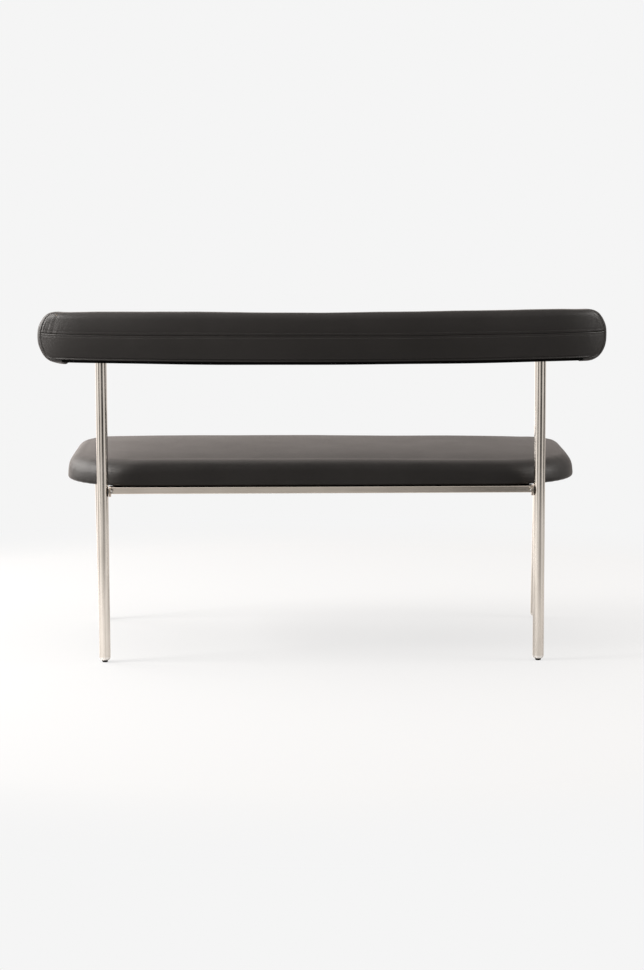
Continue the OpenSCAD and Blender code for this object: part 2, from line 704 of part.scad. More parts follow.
module backrest_lower_back_panel() {
    color([0.16, 0.15, 0.14]) back_skin(in_lower_back);
}
module backrest_closing_strip() {
    color("black") difference() {
        back_skin(in_strip);
        for (side = [-1, 1]) translate([side * rear_leg_x, leg_y, back_low_z - overrun])
            cylinder(h = leg_insertion, r = leg_r + soft_gap);
    }
}

rear_leg(-1);  // rear_leg_left
rear_leg(1);  // rear_leg_right
front_leg(-1);  // front_leg_left
front_leg(1);  // front_leg_right
rear_plug(-1);  // rear_leg_plug_left
rear_plug(1);  // rear_leg_plug_right
front_plug(-1);  // front_leg_plug_left
front_plug(1);  // front_leg_plug_right
rear_glide(-1);  // rear_glide_left
rear_glide(1);  // rear_glide_right
front_glide(-1);  // front_glide_left
front_glide(1);  // front_glide_right
leg_top_caps();
leg_rivet_nuts();
cross_rail(ear_in_x, rail_rear_y - rail_w);  // rear_rail
cross_rail(front_rail_half, rail_front_y);  // front_rail
fore_aft_rail(-side_rail_x);  // side_rail_left
fore_aft_rail(side_rail_x);  // side_rail_right
fore_aft_rail(0);  // centre_rail
rail_end_caps();
rail_ear(-1);  // rail_ear_left
rail_ear(1);  // rail_ear_right
ear_saddles();
ear_bolts();
front_leg_plate(-1);  // front_leg_plate_left
front_leg_plate(1);  // front_leg_plate_right
underframe_bolts();
leg_plate_bolts();
bolt_washers();
seat_board();
board_tee_nuts();
seat_foam();
seat_cover();
seat_dust_cover();
dust_cover_staples();
backrest_board();
backrest_bolts();
backrest_front_foam();
backrest_back_foam();
backrest_front_cover();
backrest_upper_back_panel();
backrest_lower_back_panel();
backrest_closing_strip();
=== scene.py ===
"""Two-seat dining sofa: a thin padded seat and a curved padded backrest on four chrome tube legs.

Lengths are in metres, in the part's own frame: +X along the seat, +Y to the back, +Z up. The backrest's
pieces are drawn flat, as u along it, v up and w to the rear, and are then bent to its curve.
"""

import json
import logging
import math
from collections.abc import Callable  # noqa: E402
from dataclasses import dataclass, field  # noqa: E402
from enum import Enum  # noqa: E402
from functools import cached_property  # noqa: E402

import bmesh  # noqa: E402
import bpy  # noqa: E402
import numpy as np  # noqa: E402
from mathutils import Matrix, Quaternion, Vector, noise  # noqa: E402
from mathutils.bvhtree import BVHTree  # noqa: E402
from mathutils.kdtree import KDTree  # noqa: E402


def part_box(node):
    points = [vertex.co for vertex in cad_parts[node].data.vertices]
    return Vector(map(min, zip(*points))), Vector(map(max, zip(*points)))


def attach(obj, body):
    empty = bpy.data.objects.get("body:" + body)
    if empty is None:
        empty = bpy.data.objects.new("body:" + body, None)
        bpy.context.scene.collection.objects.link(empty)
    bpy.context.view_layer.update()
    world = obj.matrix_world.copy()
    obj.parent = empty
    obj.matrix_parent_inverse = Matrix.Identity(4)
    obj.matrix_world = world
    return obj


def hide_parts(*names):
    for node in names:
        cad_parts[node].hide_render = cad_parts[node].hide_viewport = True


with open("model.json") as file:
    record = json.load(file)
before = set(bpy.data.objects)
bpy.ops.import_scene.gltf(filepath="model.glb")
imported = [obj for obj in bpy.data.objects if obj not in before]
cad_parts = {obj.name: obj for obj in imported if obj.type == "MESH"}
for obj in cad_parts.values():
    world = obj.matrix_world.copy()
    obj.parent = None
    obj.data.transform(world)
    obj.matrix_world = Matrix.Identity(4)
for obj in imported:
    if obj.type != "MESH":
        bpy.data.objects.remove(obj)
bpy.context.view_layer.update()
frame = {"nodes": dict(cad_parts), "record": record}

BODY = "root"
MM = 0.001
LOG = logging.getLogger("sofa")


class Side(Enum):
    """The two ends of the sofa, for someone who looks at its front."""

    LEFT = -1
    RIGHT = 1


class Patch(Enum):
    """What part of a rounded rectangle a padded face fills."""

    WHOLE = "whole"
    ABOVE = "above"
    BELOW = "below"


# Finishes


class Graph:
    """A material's or a world's node tree, with short calls that add and join its nodes."""

    def __init__(self, owner: bpy.types.Material | bpy.types.World, empty: bool = False) -> None:
        """Takes over the owner's tree, emptied or with its principled shader."""
        owner.use_nodes = True
        self.tree = owner.node_tree
        if empty:
            self.tree.nodes.clear()
        else:
            self.shader = self.tree.nodes["Principled BSDF"]

    def add(self, kind: str, settings: dict | None = None, **inputs: object) -> bpy.types.Node:
        """Adds a node.

        Args:
            kind: the node's Blender type.
            settings: values of the node's own properties.
            **inputs: numbers, colours or sockets for its inputs, with _ for a space in a name.

        Returns:
            The node.
        """
        node = self.tree.nodes.new(kind)
        for name, value in (settings or {}).items():
            setattr(node, name, value)
        for name, value in inputs.items():
            self.feed(node, name.replace("_", " "), value)
        return node

    def feed(self, node: bpy.types.Node, socket: str | int, value: object) -> None:
        """Sets an input, or joins it to the output given as value."""
        if isinstance(value, bpy.types.NodeSocket):
            self.tree.links.new(value, node.inputs[socket])
        else:
            node.inputs[socket].default_value = value

    def place(self, scale: tuple[float, float, float] = (1, 1, 1)) -> bpy.types.NodeSocket:
        """Returns the object's own coordinates in metres, times scale."""
        where = self.add("ShaderNodeTexCoord").outputs["Object"]
        return self.add("ShaderNodeMapping", Vector=where, Scale=scale).outputs["Vector"]

    def spread(self, value: bpy.types.NodeSocket, low: float, high: float, to_low: float = 0.0,
               to_high: float = 1.0, kind: str = "LINEAR") -> bpy.types.NodeSocket:
        """Returns value with low..high stretched to to_low..to_high and clamped."""
        return self.add("ShaderNodeMapRange", {"interpolation_type": kind}, Value=value, From_Min=low,
                        From_Max=high, To_Min=to_low, To_Max=to_high).outputs["Result"]

    def noise(self, vector: bpy.types.NodeSocket, scale: float, detail: float = 2.0,
              roughness: float = 0.5) -> bpy.types.NodeSocket:
        """Returns a noise's value, 0 to 1, with scale cells a metre."""
        return self.add("ShaderNodeTexNoise", Vector=vector, Scale=scale, Detail=detail,
                        Roughness=roughness).outputs["Fac"]

    def math(self, kind: str, a: object, b: object) -> bpy.types.NodeSocket:
        """Returns a and b joined by a math node of that kind."""
        return self.both("ShaderNodeMath", kind, a, b)

    def both(self, node: str, kind: str, a: object, b: object) -> bpy.types.NodeSocket:
        """Returns a and b joined by a math or vector math node of that kind."""
        joined = self.add(node, {"operation": kind})
        self.feed(joined, 0, a)
        self.feed(joined, 1, b)
        return joined.outputs[0]

    def sum(self, a: bpy.types.NodeSocket, times_a: float, b: bpy.types.NodeSocket,
            times_b: float) -> bpy.types.NodeSocket:
        """Returns a and b added, each times its own number."""
        return self.math("ADD", self.math("MULTIPLY", a, times_a), self.math("MULTIPLY", b, times_b))

    def scaled(self, vector: object, scale: bpy.types.NodeSocket) -> bpy.types.NodeSocket:
        """Returns a colour or vector times scale."""
        return self.add("ShaderNodeVectorMath", {"operation": "SCALE"}, Vector=vector, Scale=scale).outputs[0]

    def blend(self, share: bpy.types.NodeSocket, dark: tuple, light: tuple) -> bpy.types.NodeSocket:
        """Returns a colour between dark and light by share."""
        node = self.add("ShaderNodeMix", {"data_type": "RGBA"})
        for socket, value in ((0, share), (6, (*dark, 1)), (7, (*light, 1))):
            self.feed(node, socket, value)
        return node.outputs[2]

    def ramp(self, share: bpy.types.NodeSocket, stops: list, kind: str = "LINEAR") -> bpy.types.NodeSocket:
        """Looks a colour up by azimuth.

        Args:
            share: where to look, 0 at -180 degrees and 1 at 180.
            stops: pairs of an azimuth and a colour; it is black at -180 unless a stop is there.
            kind: how it goes from stop to stop.

        Returns:
            The colour.
        """
        node = self.add("ShaderNodeValToRGB", Fac=share)
        ramp = node.color_ramp
        ramp.interpolation = kind
        ramp.elements.remove(ramp.elements[1])
        for azimuth, colour in stops:
            at = (azimuth + 180) / 360
            stop = ramp.elements.new(at) if at > 0 else ramp.elements[0]
            stop.color = (*colour, 1)
        return node.outputs["Color"]

    def either(self, share: bpy.types.NodeSocket, first: bpy.types.Node, second: bpy.types.Node) -> bpy.types.Node:
        """Adds a mix by share of two shader nodes."""
        mix = self.add("ShaderNodeMixShader")
        for socket, value in enumerate((share, first.outputs[0], second.outputs[0])):
            self.feed(mix, socket, value)
        return mix

    def bump(self, height: bpy.types.NodeSocket, depth: float, strength: float = 1.0) -> None:
        """Feeds the shader's normal from a height field whose 0 to 1 is depth metres."""
        node = self.add("ShaderNodeBump", Height=height, Strength=strength, Distance=depth)
        self.feed(self.shader, "Normal", node.outputs["Normal"])


@dataclass(frozen=True)
class Finish:
    """What every finish has: a name, the two colours that it wanders between and its roughness."""

    name: str
    dark: tuple
    light: tuple
    rough: tuple

    def build(self) -> bpy.types.Material:
        """Makes the material."""
        material = bpy.data.materials.new(self.name)
        self.draw(Graph(material))
        return material

    def coat(self, g: Graph, share: bpy.types.NodeSocket, gloss: bpy.types.NodeSocket, low: float = 0.3,
             high: float = 0.7) -> None:
        """Colours the shader by share, and makes it rougher as gloss goes from low to high."""
        g.feed(g.shader, "Base Color", g.blend(share, self.dark, self.light))
        g.feed(g.shader, "Roughness", g.spread(gloss, low, high, *self.rough))


@dataclass(frozen=True)
class LeatherLook(Finish):
    """Soft semi-matt coated cover with a fine pebbled grain."""

    name: str = "leather_look_cover"
    dark: tuple = (0.0086, 0.0074, 0.0067)
    light: tuple = (0.0122, 0.0106, 0.0097)
    rough: tuple = (0.38, 0.48)
    cells: float = 850.0
    grain_depth: float = 0.11 * MM
    shine: float = 0.24

    def draw(self, g: Graph) -> None:
        """Draws pebbles, pores and slow changes of colour and gloss."""
        where = g.place()
        cloud = g.noise(where, 5.5, 4, 0.6)
        bent = g.add("ShaderNodeVectorMath", {"operation": "MULTIPLY_ADD"})
        for socket, value in enumerate((g.add("ShaderNodeTexNoise", Vector=where, Scale=140).outputs["Color"],
                                        (0.0022, 0.0022, 0.0022), where)):
            g.feed(bent, socket, value)
        cell = g.add("ShaderNodeTexVoronoi", {"feature": "DISTANCE_TO_EDGE"},
                     Vector=bent.outputs["Vector"], Scale=self.cells)
        pebble = g.spread(cell.outputs["Distance"], 0.0, 0.28)
        fine = g.noise(where, 2400, 2, 0.6)
        crease = g.spread(g.noise(where, 90, 3), 0.30, 0.62, 0.75, 1.0)
        share = g.math("MULTIPLY", g.spread(cloud, 0.32, 0.68), g.spread(pebble, 0, 1, 0.72, 1.0))
        self.coat(g, share, g.sum(cloud, 0.6, fine, 0.4), 0.35, 0.65)
        g.shader.inputs["Specular IOR Level"].default_value = self.shine
        g.bump(g.math("MULTIPLY", g.sum(pebble, 0.8, fine, 0.25), crease), self.grain_depth, 0.9)


@dataclass(frozen=True)
class Chrome(Finish):
    """Polished chrome plate on drawn tube, with faint draw lines along the tube."""

    dark: tuple = (0.650, 0.605, 0.550)
    light: tuple = (0.790, 0.745, 0.690)
    rough: tuple = (0.055, 0.13)
    along: int = 2

    def stretched(self, factor: float) -> tuple[float, float, float]:
        """Returns scales that stretch a pattern along the tube."""
        return tuple(factor if axis == self.along else 1.0 for axis in range(3))

    def draw(self, g: Graph) -> None:
        """Draws streaks along the tube, fine hairlines and smears."""
        streak = g.noise(g.place(self.stretched(0.012)), 420, 3)
        smear = g.noise(g.place(self.stretched(0.35)), 22, 4, 0.6)
        hair = g.noise(g.place(self.stretched(0.03)), 2600, 2)
        share = g.spread(g.sum(streak, 0.5, smear, 0.5), 0.38, 0.62)
        self.coat(g, share, g.sum(smear, 0.7, hair, 0.3), 0.35, 0.68)
        g.shader.inputs["Metallic"].default_value = 1.0
        g.bump(g.sum(streak, 0.8, hair, 0.2), 0.022 * MM, 0.6)


@dataclass(frozen=True)
class PlatedSteel(Finish):
    """Zinc-plated or blackened steel of the fasteners, with a fine brushed grain."""

    rough: tuple = (0.28, 0.45)

    def draw(self, g: Graph) -> None:
        """Draws mottled plating with tool marks."""
        mottle = g.noise(g.place(), 260, 4, 0.65)
        marks = g.noise(g.place((1, 1, 6)), 900, 2)
        self.coat(g, g.spread(mottle, 0.35, 0.65), marks)
        g.shader.inputs["Metallic"].default_value = 1.0
        g.bump(g.math("ADD", mottle, marks), 0.03 * MM, 0.6)


@dataclass(frozen=True)
class MouldedPlastic(Finish):
    """Matt moulded nylon with a fine spark-eroded texture."""

    rough: tuple = (0.42, 0.6)
    shine: float = 0.5

    def draw(self, g: Graph) -> None:
        """Draws an even colour with a fine texture and slight gloss changes."""
        grit = g.noise(g.place(), 1800, 3, 0.7)
        self.coat(g, g.spread(g.noise(g.place(), 60, 3), 0.35, 0.65), grit)
        g.shader.inputs["Specular IOR Level"].default_value = self.shine
        g.bump(grit, 0.04 * MM, 0.7)


@dataclass(frozen=True)
class NonWoven(Finish):
    """Black spun-bonded cloth with its grid of small pressed dots."""

    name: str = "non_woven_cloth"
    dark: tuple = (0.0025, 0.0025, 0.0025)
    light: tuple = (0.0090, 0.0090, 0.0090)
    rough: tuple = (0.7, 0.95)
    dots: float = 520.0
    shine: float = 0.12

    def draw(self, g: Graph) -> None:
        """Draws matted fibres and pressed dots."""
        fibre, cross = (g.noise(g.place(scale), 1500, 4, 0.7) for scale in ((1, 0.25, 1), (0.25, 1, 1)))
        mat = g.math("MAXIMUM", fibre, cross)
        dot = g.add("ShaderNodeTexVoronoi", Vector=g.place(), Scale=self.dots, Randomness=0.15)
        press = g.spread(dot.outputs["Distance"], 0.18, 0.42)
        self.coat(g, g.math("MULTIPLY", g.spread(mat, 0.4, 0.7), press), press, 0, 1)
        g.shader.inputs["Specular IOR Level"].default_value = self.shine
        g.bump(g.math("ADD", mat, press), 0.12 * MM, 0.8)


@dataclass(frozen=True)
class Plywood(Finish):
    """Raw birch plywood, with plies that show at its edge."""

    name: str = "birch_plywood"
    dark: tuple = (0.40, 0.26, 0.14)
    light: tuple = (0.68, 0.52, 0.35)
    rough: tuple = (0.55, 0.75)

    def draw(self, g: Graph) -> None:
        """Draws long grain on the faces and thin plies up the edge."""
        grain = g.noise(g.place((0.12, 1, 1)), 130, 5, 0.6)
        plies = g.noise(g.place((0.02, 0.02, 1)), 480, 1)
        self.coat(g, g.spread(g.sum(grain, 0.6, plies, 0.4), 0.36, 0.62), grain)
        g.bump(grain, 0.15 * MM, 0.5)


@dataclass(frozen=True)
class Thread(Finish):
    """Twisted sewing thread."""

    name: str = "sewing_thread"
    dark: tuple = (0.016, 0.015, 0.014)
    light: tuple = (0.042, 0.040, 0.038)
    rough: tuple = (0.5, 0.7)

    def draw(self, g: Graph) -> None:
        """Draws a twisted strand's light and dark turns."""
        turns = g.noise(g.place((1, 1, 3)), 2200, 2)
        self.coat(g, g.spread(turns, 0.35, 0.65), turns)
        g.bump(turns, 0.08 * MM, 0.7)


class Finishes:
    """Every material of the sofa, by the record's slot, and the sewing thread, with darker and lighter copies that
    paint shade and highlights.
    """

    def __init__(self) -> None:
        """Builds the materials."""
        looks = {
            "chrome": Chrome("polished_chrome"),
            # The glides are darker than black nylon: their own black colour plus painted shade where they meet the
            # floor.
            "glide": MouldedPlastic("glide_nylon_and_shade", (0.003,) * 3, (0.007,) * 3, shine=0.15),
            "cap": MouldedPlastic("cap_plastic", (0.02,) * 3, (0.04,) * 3),
            "bolt": PlatedSteel("blackened_steel", (0.16, 0.15, 0.14), (0.34, 0.33, 0.31)),
            "zinc": PlatedSteel("zinc_plate", (0.42, 0.42, 0.40), (0.66, 0.66, 0.64)),
            "cover": LeatherLook(),
            "underside": NonWoven(),
            "foam": MouldedPlastic("foam_skin", (0.55, 0.48, 0.30), (0.8, 0.72, 0.5), (0.8, 0.95)),
            "plywood": Plywood(),
        }
        self.by_slot = {slot: look.build() for slot, look in looks.items()}
        self.thread = Thread().build()
        # The closing strip's cloth is darker than the black non-woven: painted shade for the slot under the rear
        # panel's lip.
        self.strip_shade_cloth = NonWoven("closing_strip_cloth", (0.0008,) * 3, (0.0026,) * 3, shine=0.03).build()
        # The cross and side rails get a darker, warmer chrome than the legs: painted shade under the seat.
        rail = (0.600, 0.545, 0.480), (0.730, 0.670, 0.600)
        cross, deep = (Chrome(f"chrome_{name}_rail", *rail, along=axis).build()
                       for axis, name in enumerate(("cross", "side")))
        # The rail-end ears get a dark, brownish chrome: painted shade.
        ear = Chrome("chrome_ear_shaded", (0.30, 0.26, 0.22), (0.42, 0.37, 0.32), (0.09, 0.18)).build()
        # The leg plugs get near-white chrome: a painted highlight of the glint on their rounded ends.
        plug = Chrome("chrome_plug_glint", (0.80, 0.77, 0.73), (0.93, 0.91, 0.88)).build()
        self.by_node = {"front_rail": cross, "rear_rail": cross, "centre_rail": deep}
        for end in (side.name.lower() for side in Side):
            self.by_node |= {f"side_rail_{end}": deep, f"rail_ear_{end}": ear,
                             f"front_leg_plug_{end}": plug, f"rear_leg_plug_{end}": plug}

    def dress(self, piece: bpy.types.Object, slot: str) -> bpy.types.Object:
        """Gives a new piece its slot's finish and its place on the sofa."""
        self.wear(piece, self.by_slot[slot])
        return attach(piece, BODY)

    @staticmethod
    def wear(piece: bpy.types.Object, material: bpy.types.Material) -> None:
        """Makes material the only one on the piece."""
        piece.data.materials.clear()
        piece.data.materials.append(material)


# Flat outlines and the grids that fill them


@dataclass(frozen=True)
class Arc:
    """A stretch of a circle, from angle start to angle end in degrees."""

    centre: tuple[float, float]
    radius: float
    start: float
    end: float

    @property
    def length(self) -> float:
        """Length along the arc."""
        return math.radians(abs(self.end - self.start)) * self.radius

    def at(self, share: np.ndarray) -> tuple[np.ndarray, np.ndarray]:
        """Returns the points and outward directions at shares of its length."""
        turn = np.radians(self.start + (self.end - self.start) * share)
        out = np.stack([np.cos(turn), np.sin(turn)], -1)
        return np.array(self.centre) + self.radius * out, out


@dataclass(frozen=True)
class Run:
    """A straight stretch of an outline."""

    start: tuple[float, float]
    end: tuple[float, float]
    out: tuple[float, float]

    @property
    def length(self) -> float:
        """Length of the stretch."""
        return math.dist(self.start, self.end)

    def at(self, share: np.ndarray) -> tuple[np.ndarray, np.ndarray]:
        """Returns the points and outward directions at shares of its length."""
        a, b = np.array(self.start), np.array(self.end)
        return a + (b - a) * share[:, None], np.tile(np.array(self.out, float), (len(share), 1))


def sampled(path: list[Arc | Run], shares: np.ndarray) -> tuple[np.ndarray, np.ndarray]:
    """Samples a path of stretches.

    Args:
        path: stretches, end to end.
        shares: where to sample, as shares of the whole length, rising.

    Returns:
        The points and the outward directions there.
    """
    ends = np.cumsum([0.0] + [p.length for p in path])
    along = np.clip(shares, 0, 1) * ends[-1]
    points, outs = np.zeros((len(shares), 2)), np.zeros((len(shares), 2))
    which = np.clip(np.searchsorted(ends, along, side="right") - 1, 0, len(path) - 1)
    for k, part in enumerate(path):
        here = which == k
        if here.any():
            share = (along[here] - ends[k]) / max(part.length, 1e-9)
            points[here], outs[here] = part.at(share)
    return points, outs


def steps(length: float, coarse: float, fine: float, reach: float) -> np.ndarray:
    """Cuts a length into steps that are finer near its ends.

    Args:
        length: the length to cut.
        coarse: the step far from the ends.
        fine: the step at an end.
        reach: how far the finer steps go.

    Returns:
        The cuts as shares of the length, from 0 to 1.
    """
    cuts = [0.0]
    while cuts[-1] < length:
        ease = smooth(min(1.0, max(0.0, min(cuts[-1], length - cuts[-1])) / reach))
        cuts.append(cuts[-1] + fine + (coarse - fine) * ease)
    return np.array(cuts) / cuts[-1]


def rising(value: np.ndarray, start: float, span: float) -> np.ndarray:
    """Returns 0 up to start, 1 from start + span on, and a straight rise between them."""
    return np.clip((value - start) / span, 0, 1)


def smooth(share: float | np.ndarray) -> float | np.ndarray:
    """Returns a share, 0 to 1, with soft ends."""
    return share * share * (3 - 2 * share)


def bell(value: np.ndarray, middle: float, width: float) -> np.ndarray:
    """Returns 1 at middle, falling smoothly to 0 on both sides."""
    return np.exp(-(((value - middle) / width) ** 2))


@dataclass(frozen=True)
class Outline:
    """A rounded rectangle with one radius for its upper corners and one for its lower ones."""

    half_u: float
    half_v: float
    top_radius: float
    low_radius: float

    def arc(self, right: bool, top: bool, start: float, end: float) -> Arc:
        """Returns a stretch of one of the four corners."""
        radius = self.top_radius if top else self.low_radius
        cu = (self.half_u - radius) * (1 if right else -1)
        cv = (self.half_v - radius) * (1 if top else -1)
        return Arc((cu, cv), radius, start, end)

    def sides(self, patch: Patch, seam_v: float = 0.0) -> dict[str, list[Arc | Run]]:
        """Splits the outline, or the part of it on one side of a level line, into a patch's sides.

        Args:
            patch: the whole outline, or what lies above or below the line.
            seam_v: the line's height.

        Returns:
            The right, top and left sides, walked anticlockwise, and the bottom of a whole patch.
            Below the line the walk is clockwise, so that each patch starts at the line's right end.
        """
        hu, hv, rt, rl = self.half_u, self.half_v, self.top_radius, self.low_radius
        if patch is Patch.WHOLE:
            return {
                "right": [self.arc(True, False, -45, 0), Run((hu, rl - hv), (hu, hv - rt), (1, 0)),
                          self.arc(True, True, 0, 45)],
                "top": [self.arc(True, True, 45, 90), Run((hu - rt, hv), (rt - hu, hv), (0, 1)),
                        self.arc(False, True, 90, 135)],
                "left": [self.arc(False, True, 135, 180), Run((-hu, hv - rt), (-hu, rl - hv), (-1, 0)),
                         self.arc(False, False, 180, 225)],
                "bottom": [self.arc(False, False, 225, 270), Run((rl - hu, -hv), (hu - rl, -hv), (0, -1)),
                           self.arc(True, False, 270, 315)],
            }
        top = patch is Patch.ABOVE
        s, r = (1, rt) if top else (-1, rl)
        return {
            "right": [Run((hu, seam_v), (hu, s * (hv - r)), (1, 0)), self.arc(True, top, 0, s * 45)],
            "top": [self.arc(True, top, s * 45, s * 90), Run((hu - r, s * hv), (r - hu, s * hv), (0, s)),
                    self.arc(False, top, s * 90, s * 135)],
            "left": [self.arc(False, top, s * 135, s * 180), Run((-hu, s * (hv - r)), (-hu, seam_v), (-1, 0))],
        }


def coons(bottom: np.ndarray, right: np.ndarray, top: np.ndarray, left: np.ndarray, s: np.ndarray,
          t: np.ndarray) -> np.ndarray:
    """Fills four sides with a smooth grid.

    Args:
        bottom, top: points of the sides at t 0 and 1, in the order of s.
        right, left: points of the sides at s 1 and 0, in the order of t.
        s: shares across.
        t: shares up.

    Returns:
        The grid's points, as rows up and columns across.
    """
    s3, t3 = s[None, :, None], t[:, None, None]
    ruled = (1 - t3) * bottom[None] + t3 * top[None] + (1 - s3) * left[:, None] + s3 * right[:, None]
    corners = ((1 - s3) * (1 - t3) * bottom[0] + s3 * (1 - t3) * bottom[-1]
               + (1 - s3) * t3 * top[0] + s3 * t3 * top[-1])
    return ruled - corners


def filled(outline: Outline, s: np.ndarray, t: np.ndarray,
           inset: Callable | float) -> tuple[np.ndarray, np.ndarray, np.ndarray]:
    """Fills an outline, drawn in by inset, with a grid.

    Args:
        outline: the outline.
        s: shares across.
        t: shares up.
        inset: how far the grid's rim lies inside the outline, or what gives this at outline points.

    Returns:
        The grid, and the outline's points and outward directions round it.
    """
    sides = outline.sides(Patch.WHOLE)
    walk = {k: sampled(path, s if k in ("top", "bottom") else t) for k, path in sides.items()}
    inner = {k: p - o * (inset(p)[:, None] if callable(inset) else inset) for k, (p, o) in walk.items()}
    flat = coons(inner["bottom"], inner["right"], inner["top"][::-1], inner["left"][::-1], s, t)
    parts = {"right": slice(None), "top": slice(1, None), "left": slice(1, None), "bottom": slice(1, -1)}
    points, outs = (np.concatenate([walk[k][which][part] for k, part in parts.items()]) for which in (0, 1))
    return flat, points, outs


def rim_of(ids: np.ndarray) -> np.ndarray:
    """Returns the vertex numbers round a grid, from its lower right corner, anticlockwise."""
    return np.concatenate([ids[:, -1], ids[-1, -2::-1], ids[-2::-1, 0], ids[0, 1:-1]])


@dataclass
class Sheet:
    """The points and the quads of a piece under construction."""

    points: list = field(default_factory=list)
    faces: list = field(default_factory=list)

    def grid(self, points: np.ndarray) -> np.ndarray:
        """Adds a grid of points with its quads, and returns its vertex numbers."""
        ids = len(self.points) + np.arange(points.shape[0] * points.shape[1]).reshape(points.shape[:2])
        self.points.extend(points.reshape(-1, 3))
        self.knit(ids)
        return ids

    def knit(self, ids: np.ndarray, keep: np.ndarray | None = None) -> None:
        """Adds the quads between rows and columns of vertex numbers, where keep is true."""
        for r in range(ids.shape[0] - 1):
            for c in range(ids.shape[1] - 1):
                if keep is None or keep[r, c]:
                    self.faces.append((ids[r, c], ids[r, c + 1], ids[r + 1, c + 1], ids[r + 1, c]))

    def band(self, rim: np.ndarray, rows: np.ndarray, closed: bool, keep: np.ndarray | None = None) -> np.ndarray:
        """Adds rows of points outside a rim and knits them to it.

        Args:
            rim: vertex numbers along the rim.
            rows: the new points, one row after another.
            closed: whether the rim is a loop.
            keep: for each row and column, whether its quad is made.

        Returns:
            The vertex numbers of the rim and the new rows.
        """
        ids = len(self.points) + np.arange(rows.shape[0] * rows.shape[1]).reshape(rows.shape[:2])
        self.points.extend(rows.reshape(-1, 3))
        ids = np.vstack([rim[None], ids])
        if closed:
            ids = np.hstack([ids, ids[:, :1]])
        self.knit(ids[:, ::-1], None if keep is None else keep[:, ::-1])
        return ids


def stood(name: str, data: bpy.types.ID) -> bpy.types.Object:
    """Makes an object of a mesh, a lamp or a camera, and puts it in the scene."""
    made = bpy.data.objects.new(name, data)
    bpy.context.scene.collection.objects.link(made)
    return made


def shaped(name: str, shape: Callable, **sizes: object) -> bpy.types.Object:
    """Makes an object of one of bmesh's plain shapes."""
    built, mesh = bmesh.new(), bpy.data.meshes.new(name)
    shape(built, cap_ends=True, **sizes)
    built.to_mesh(mesh)
    built.free()
    return stood(name, mesh)


def mesh_piece(name: str, points: np.ndarray, faces: list) -> bpy.types.Object:
    """Makes a smooth object from points and faces, without the points that no face uses."""
    points = np.asarray(points, float)
    used = np.unique(np.concatenate([np.asarray(f) for f in faces]))
    number = np.full(len(points), -1)
    number[used] = np.arange(len(used))
    mesh = bpy.data.meshes.new(name)
    mesh.from_pydata(points[used].tolist(), [], [[int(number[i]) for i in f] for f in faces])
    mesh.validate()
    mesh.polygons.foreach_set("use_smooth", [True] * len(mesh.polygons))
    return stood(name, mesh)


def per_point(mesh: bpy.types.Mesh, what: str) -> np.ndarray:
    """Returns a vector for each point of a mesh: its co or its normal."""
    flat = np.zeros(len(mesh.vertices) * 3)
    mesh.vertices.foreach_get(what, flat)
    return flat.reshape(-1, 3)


def places(piece: bpy.types.Object) -> np.ndarray:
    """Returns a piece's points."""
    return per_point(piece.data, "co")


def normals(piece: bpy.types.Object) -> np.ndarray:
    """Returns the normals at a piece's points."""
    return per_point(piece.data, "normal")


def move(piece: bpy.types.Object, points: np.ndarray) -> None:
    """Sets a piece's points."""
    piece.data.vertices.foreach_set("co", np.asarray(points, float).ravel())
    piece.data.update()


def face(piece: bpy.types.Object, look: tuple[float, float, float]) -> None:
    """Turns the faces so that, on the whole, they look in the given direction."""
    total = sum(part.normal.dot(Vector(look)) * part.area for part in piece.data.polygons)
    if total < 0:
        piece.data.flip_normals()
        piece.data.update()


def border(piece: bpy.types.Object) -> list[tuple[int, int]]:
    """Returns the edges that only one face uses."""
    uses: dict[tuple[int, int], int] = {}
    for part in piece.data.polygons:
        for key in part.edge_keys:
            uses[key] = uses.get(key, 0) + 1
    return [key for key, count in uses.items() if count == 1]


def border_distance(piece: bpy.types.Object, spacing: float = 0.6 * MM) -> np.ndarray:
    """Returns each point's distance to the piece's open border."""
    points, along = places(piece), []
    for a, b in border(piece):
        count = max(1, int(np.linalg.norm(points[b] - points[a]) / spacing))
        along.extend(points[a] + (points[b] - points[a]) * k / count for k in range(count + 1))
    tree = KDTree(len(along))
    for k, p in enumerate(along):
        tree.insert(p, k)
    tree.balance()
    return np.array([tree.find(p)[2] for p in points])


def apply_modifiers(piece: bpy.types.Object) -> None:
    """Replaces a piece's mesh by what its modifiers make of it."""
    bpy.context.view_layer.update()
    graph = bpy.context.evaluated_depsgraph_get()
    made = bpy.data.meshes.new_from_object(piece.evaluated_get(graph))
    piece.modifiers.clear()
    old, piece.data = piece.data, made
    bpy.data.meshes.remove(old)
    piece.data.name = piece.name


def subdivided(piece: bpy.types.Object) -> None:
    """Replaces a piece's mesh by its subdivision surface."""
    modifier = piece.modifiers.new("subdivision", "SUBSURF")
    modifier.levels = modifier.render_levels = 1
    modifier.boundary_smooth = "PRESERVE_CORNERS"
    apply_modifiers(piece)


def unevenness(points: np.ndarray, *waves: tuple[float, float, float]) -> np.ndarray:
    """Returns a sum of smooth noises at the points, each with its height, its cell size and its seed."""
    total = np.zeros(len(points))
    for height, cell, seed in waves:
        shift = Vector((seed, seed * 2, -seed))
        total += height * np.array([noise.noise(Vector(p / cell) + shift) for p in points])
    return total


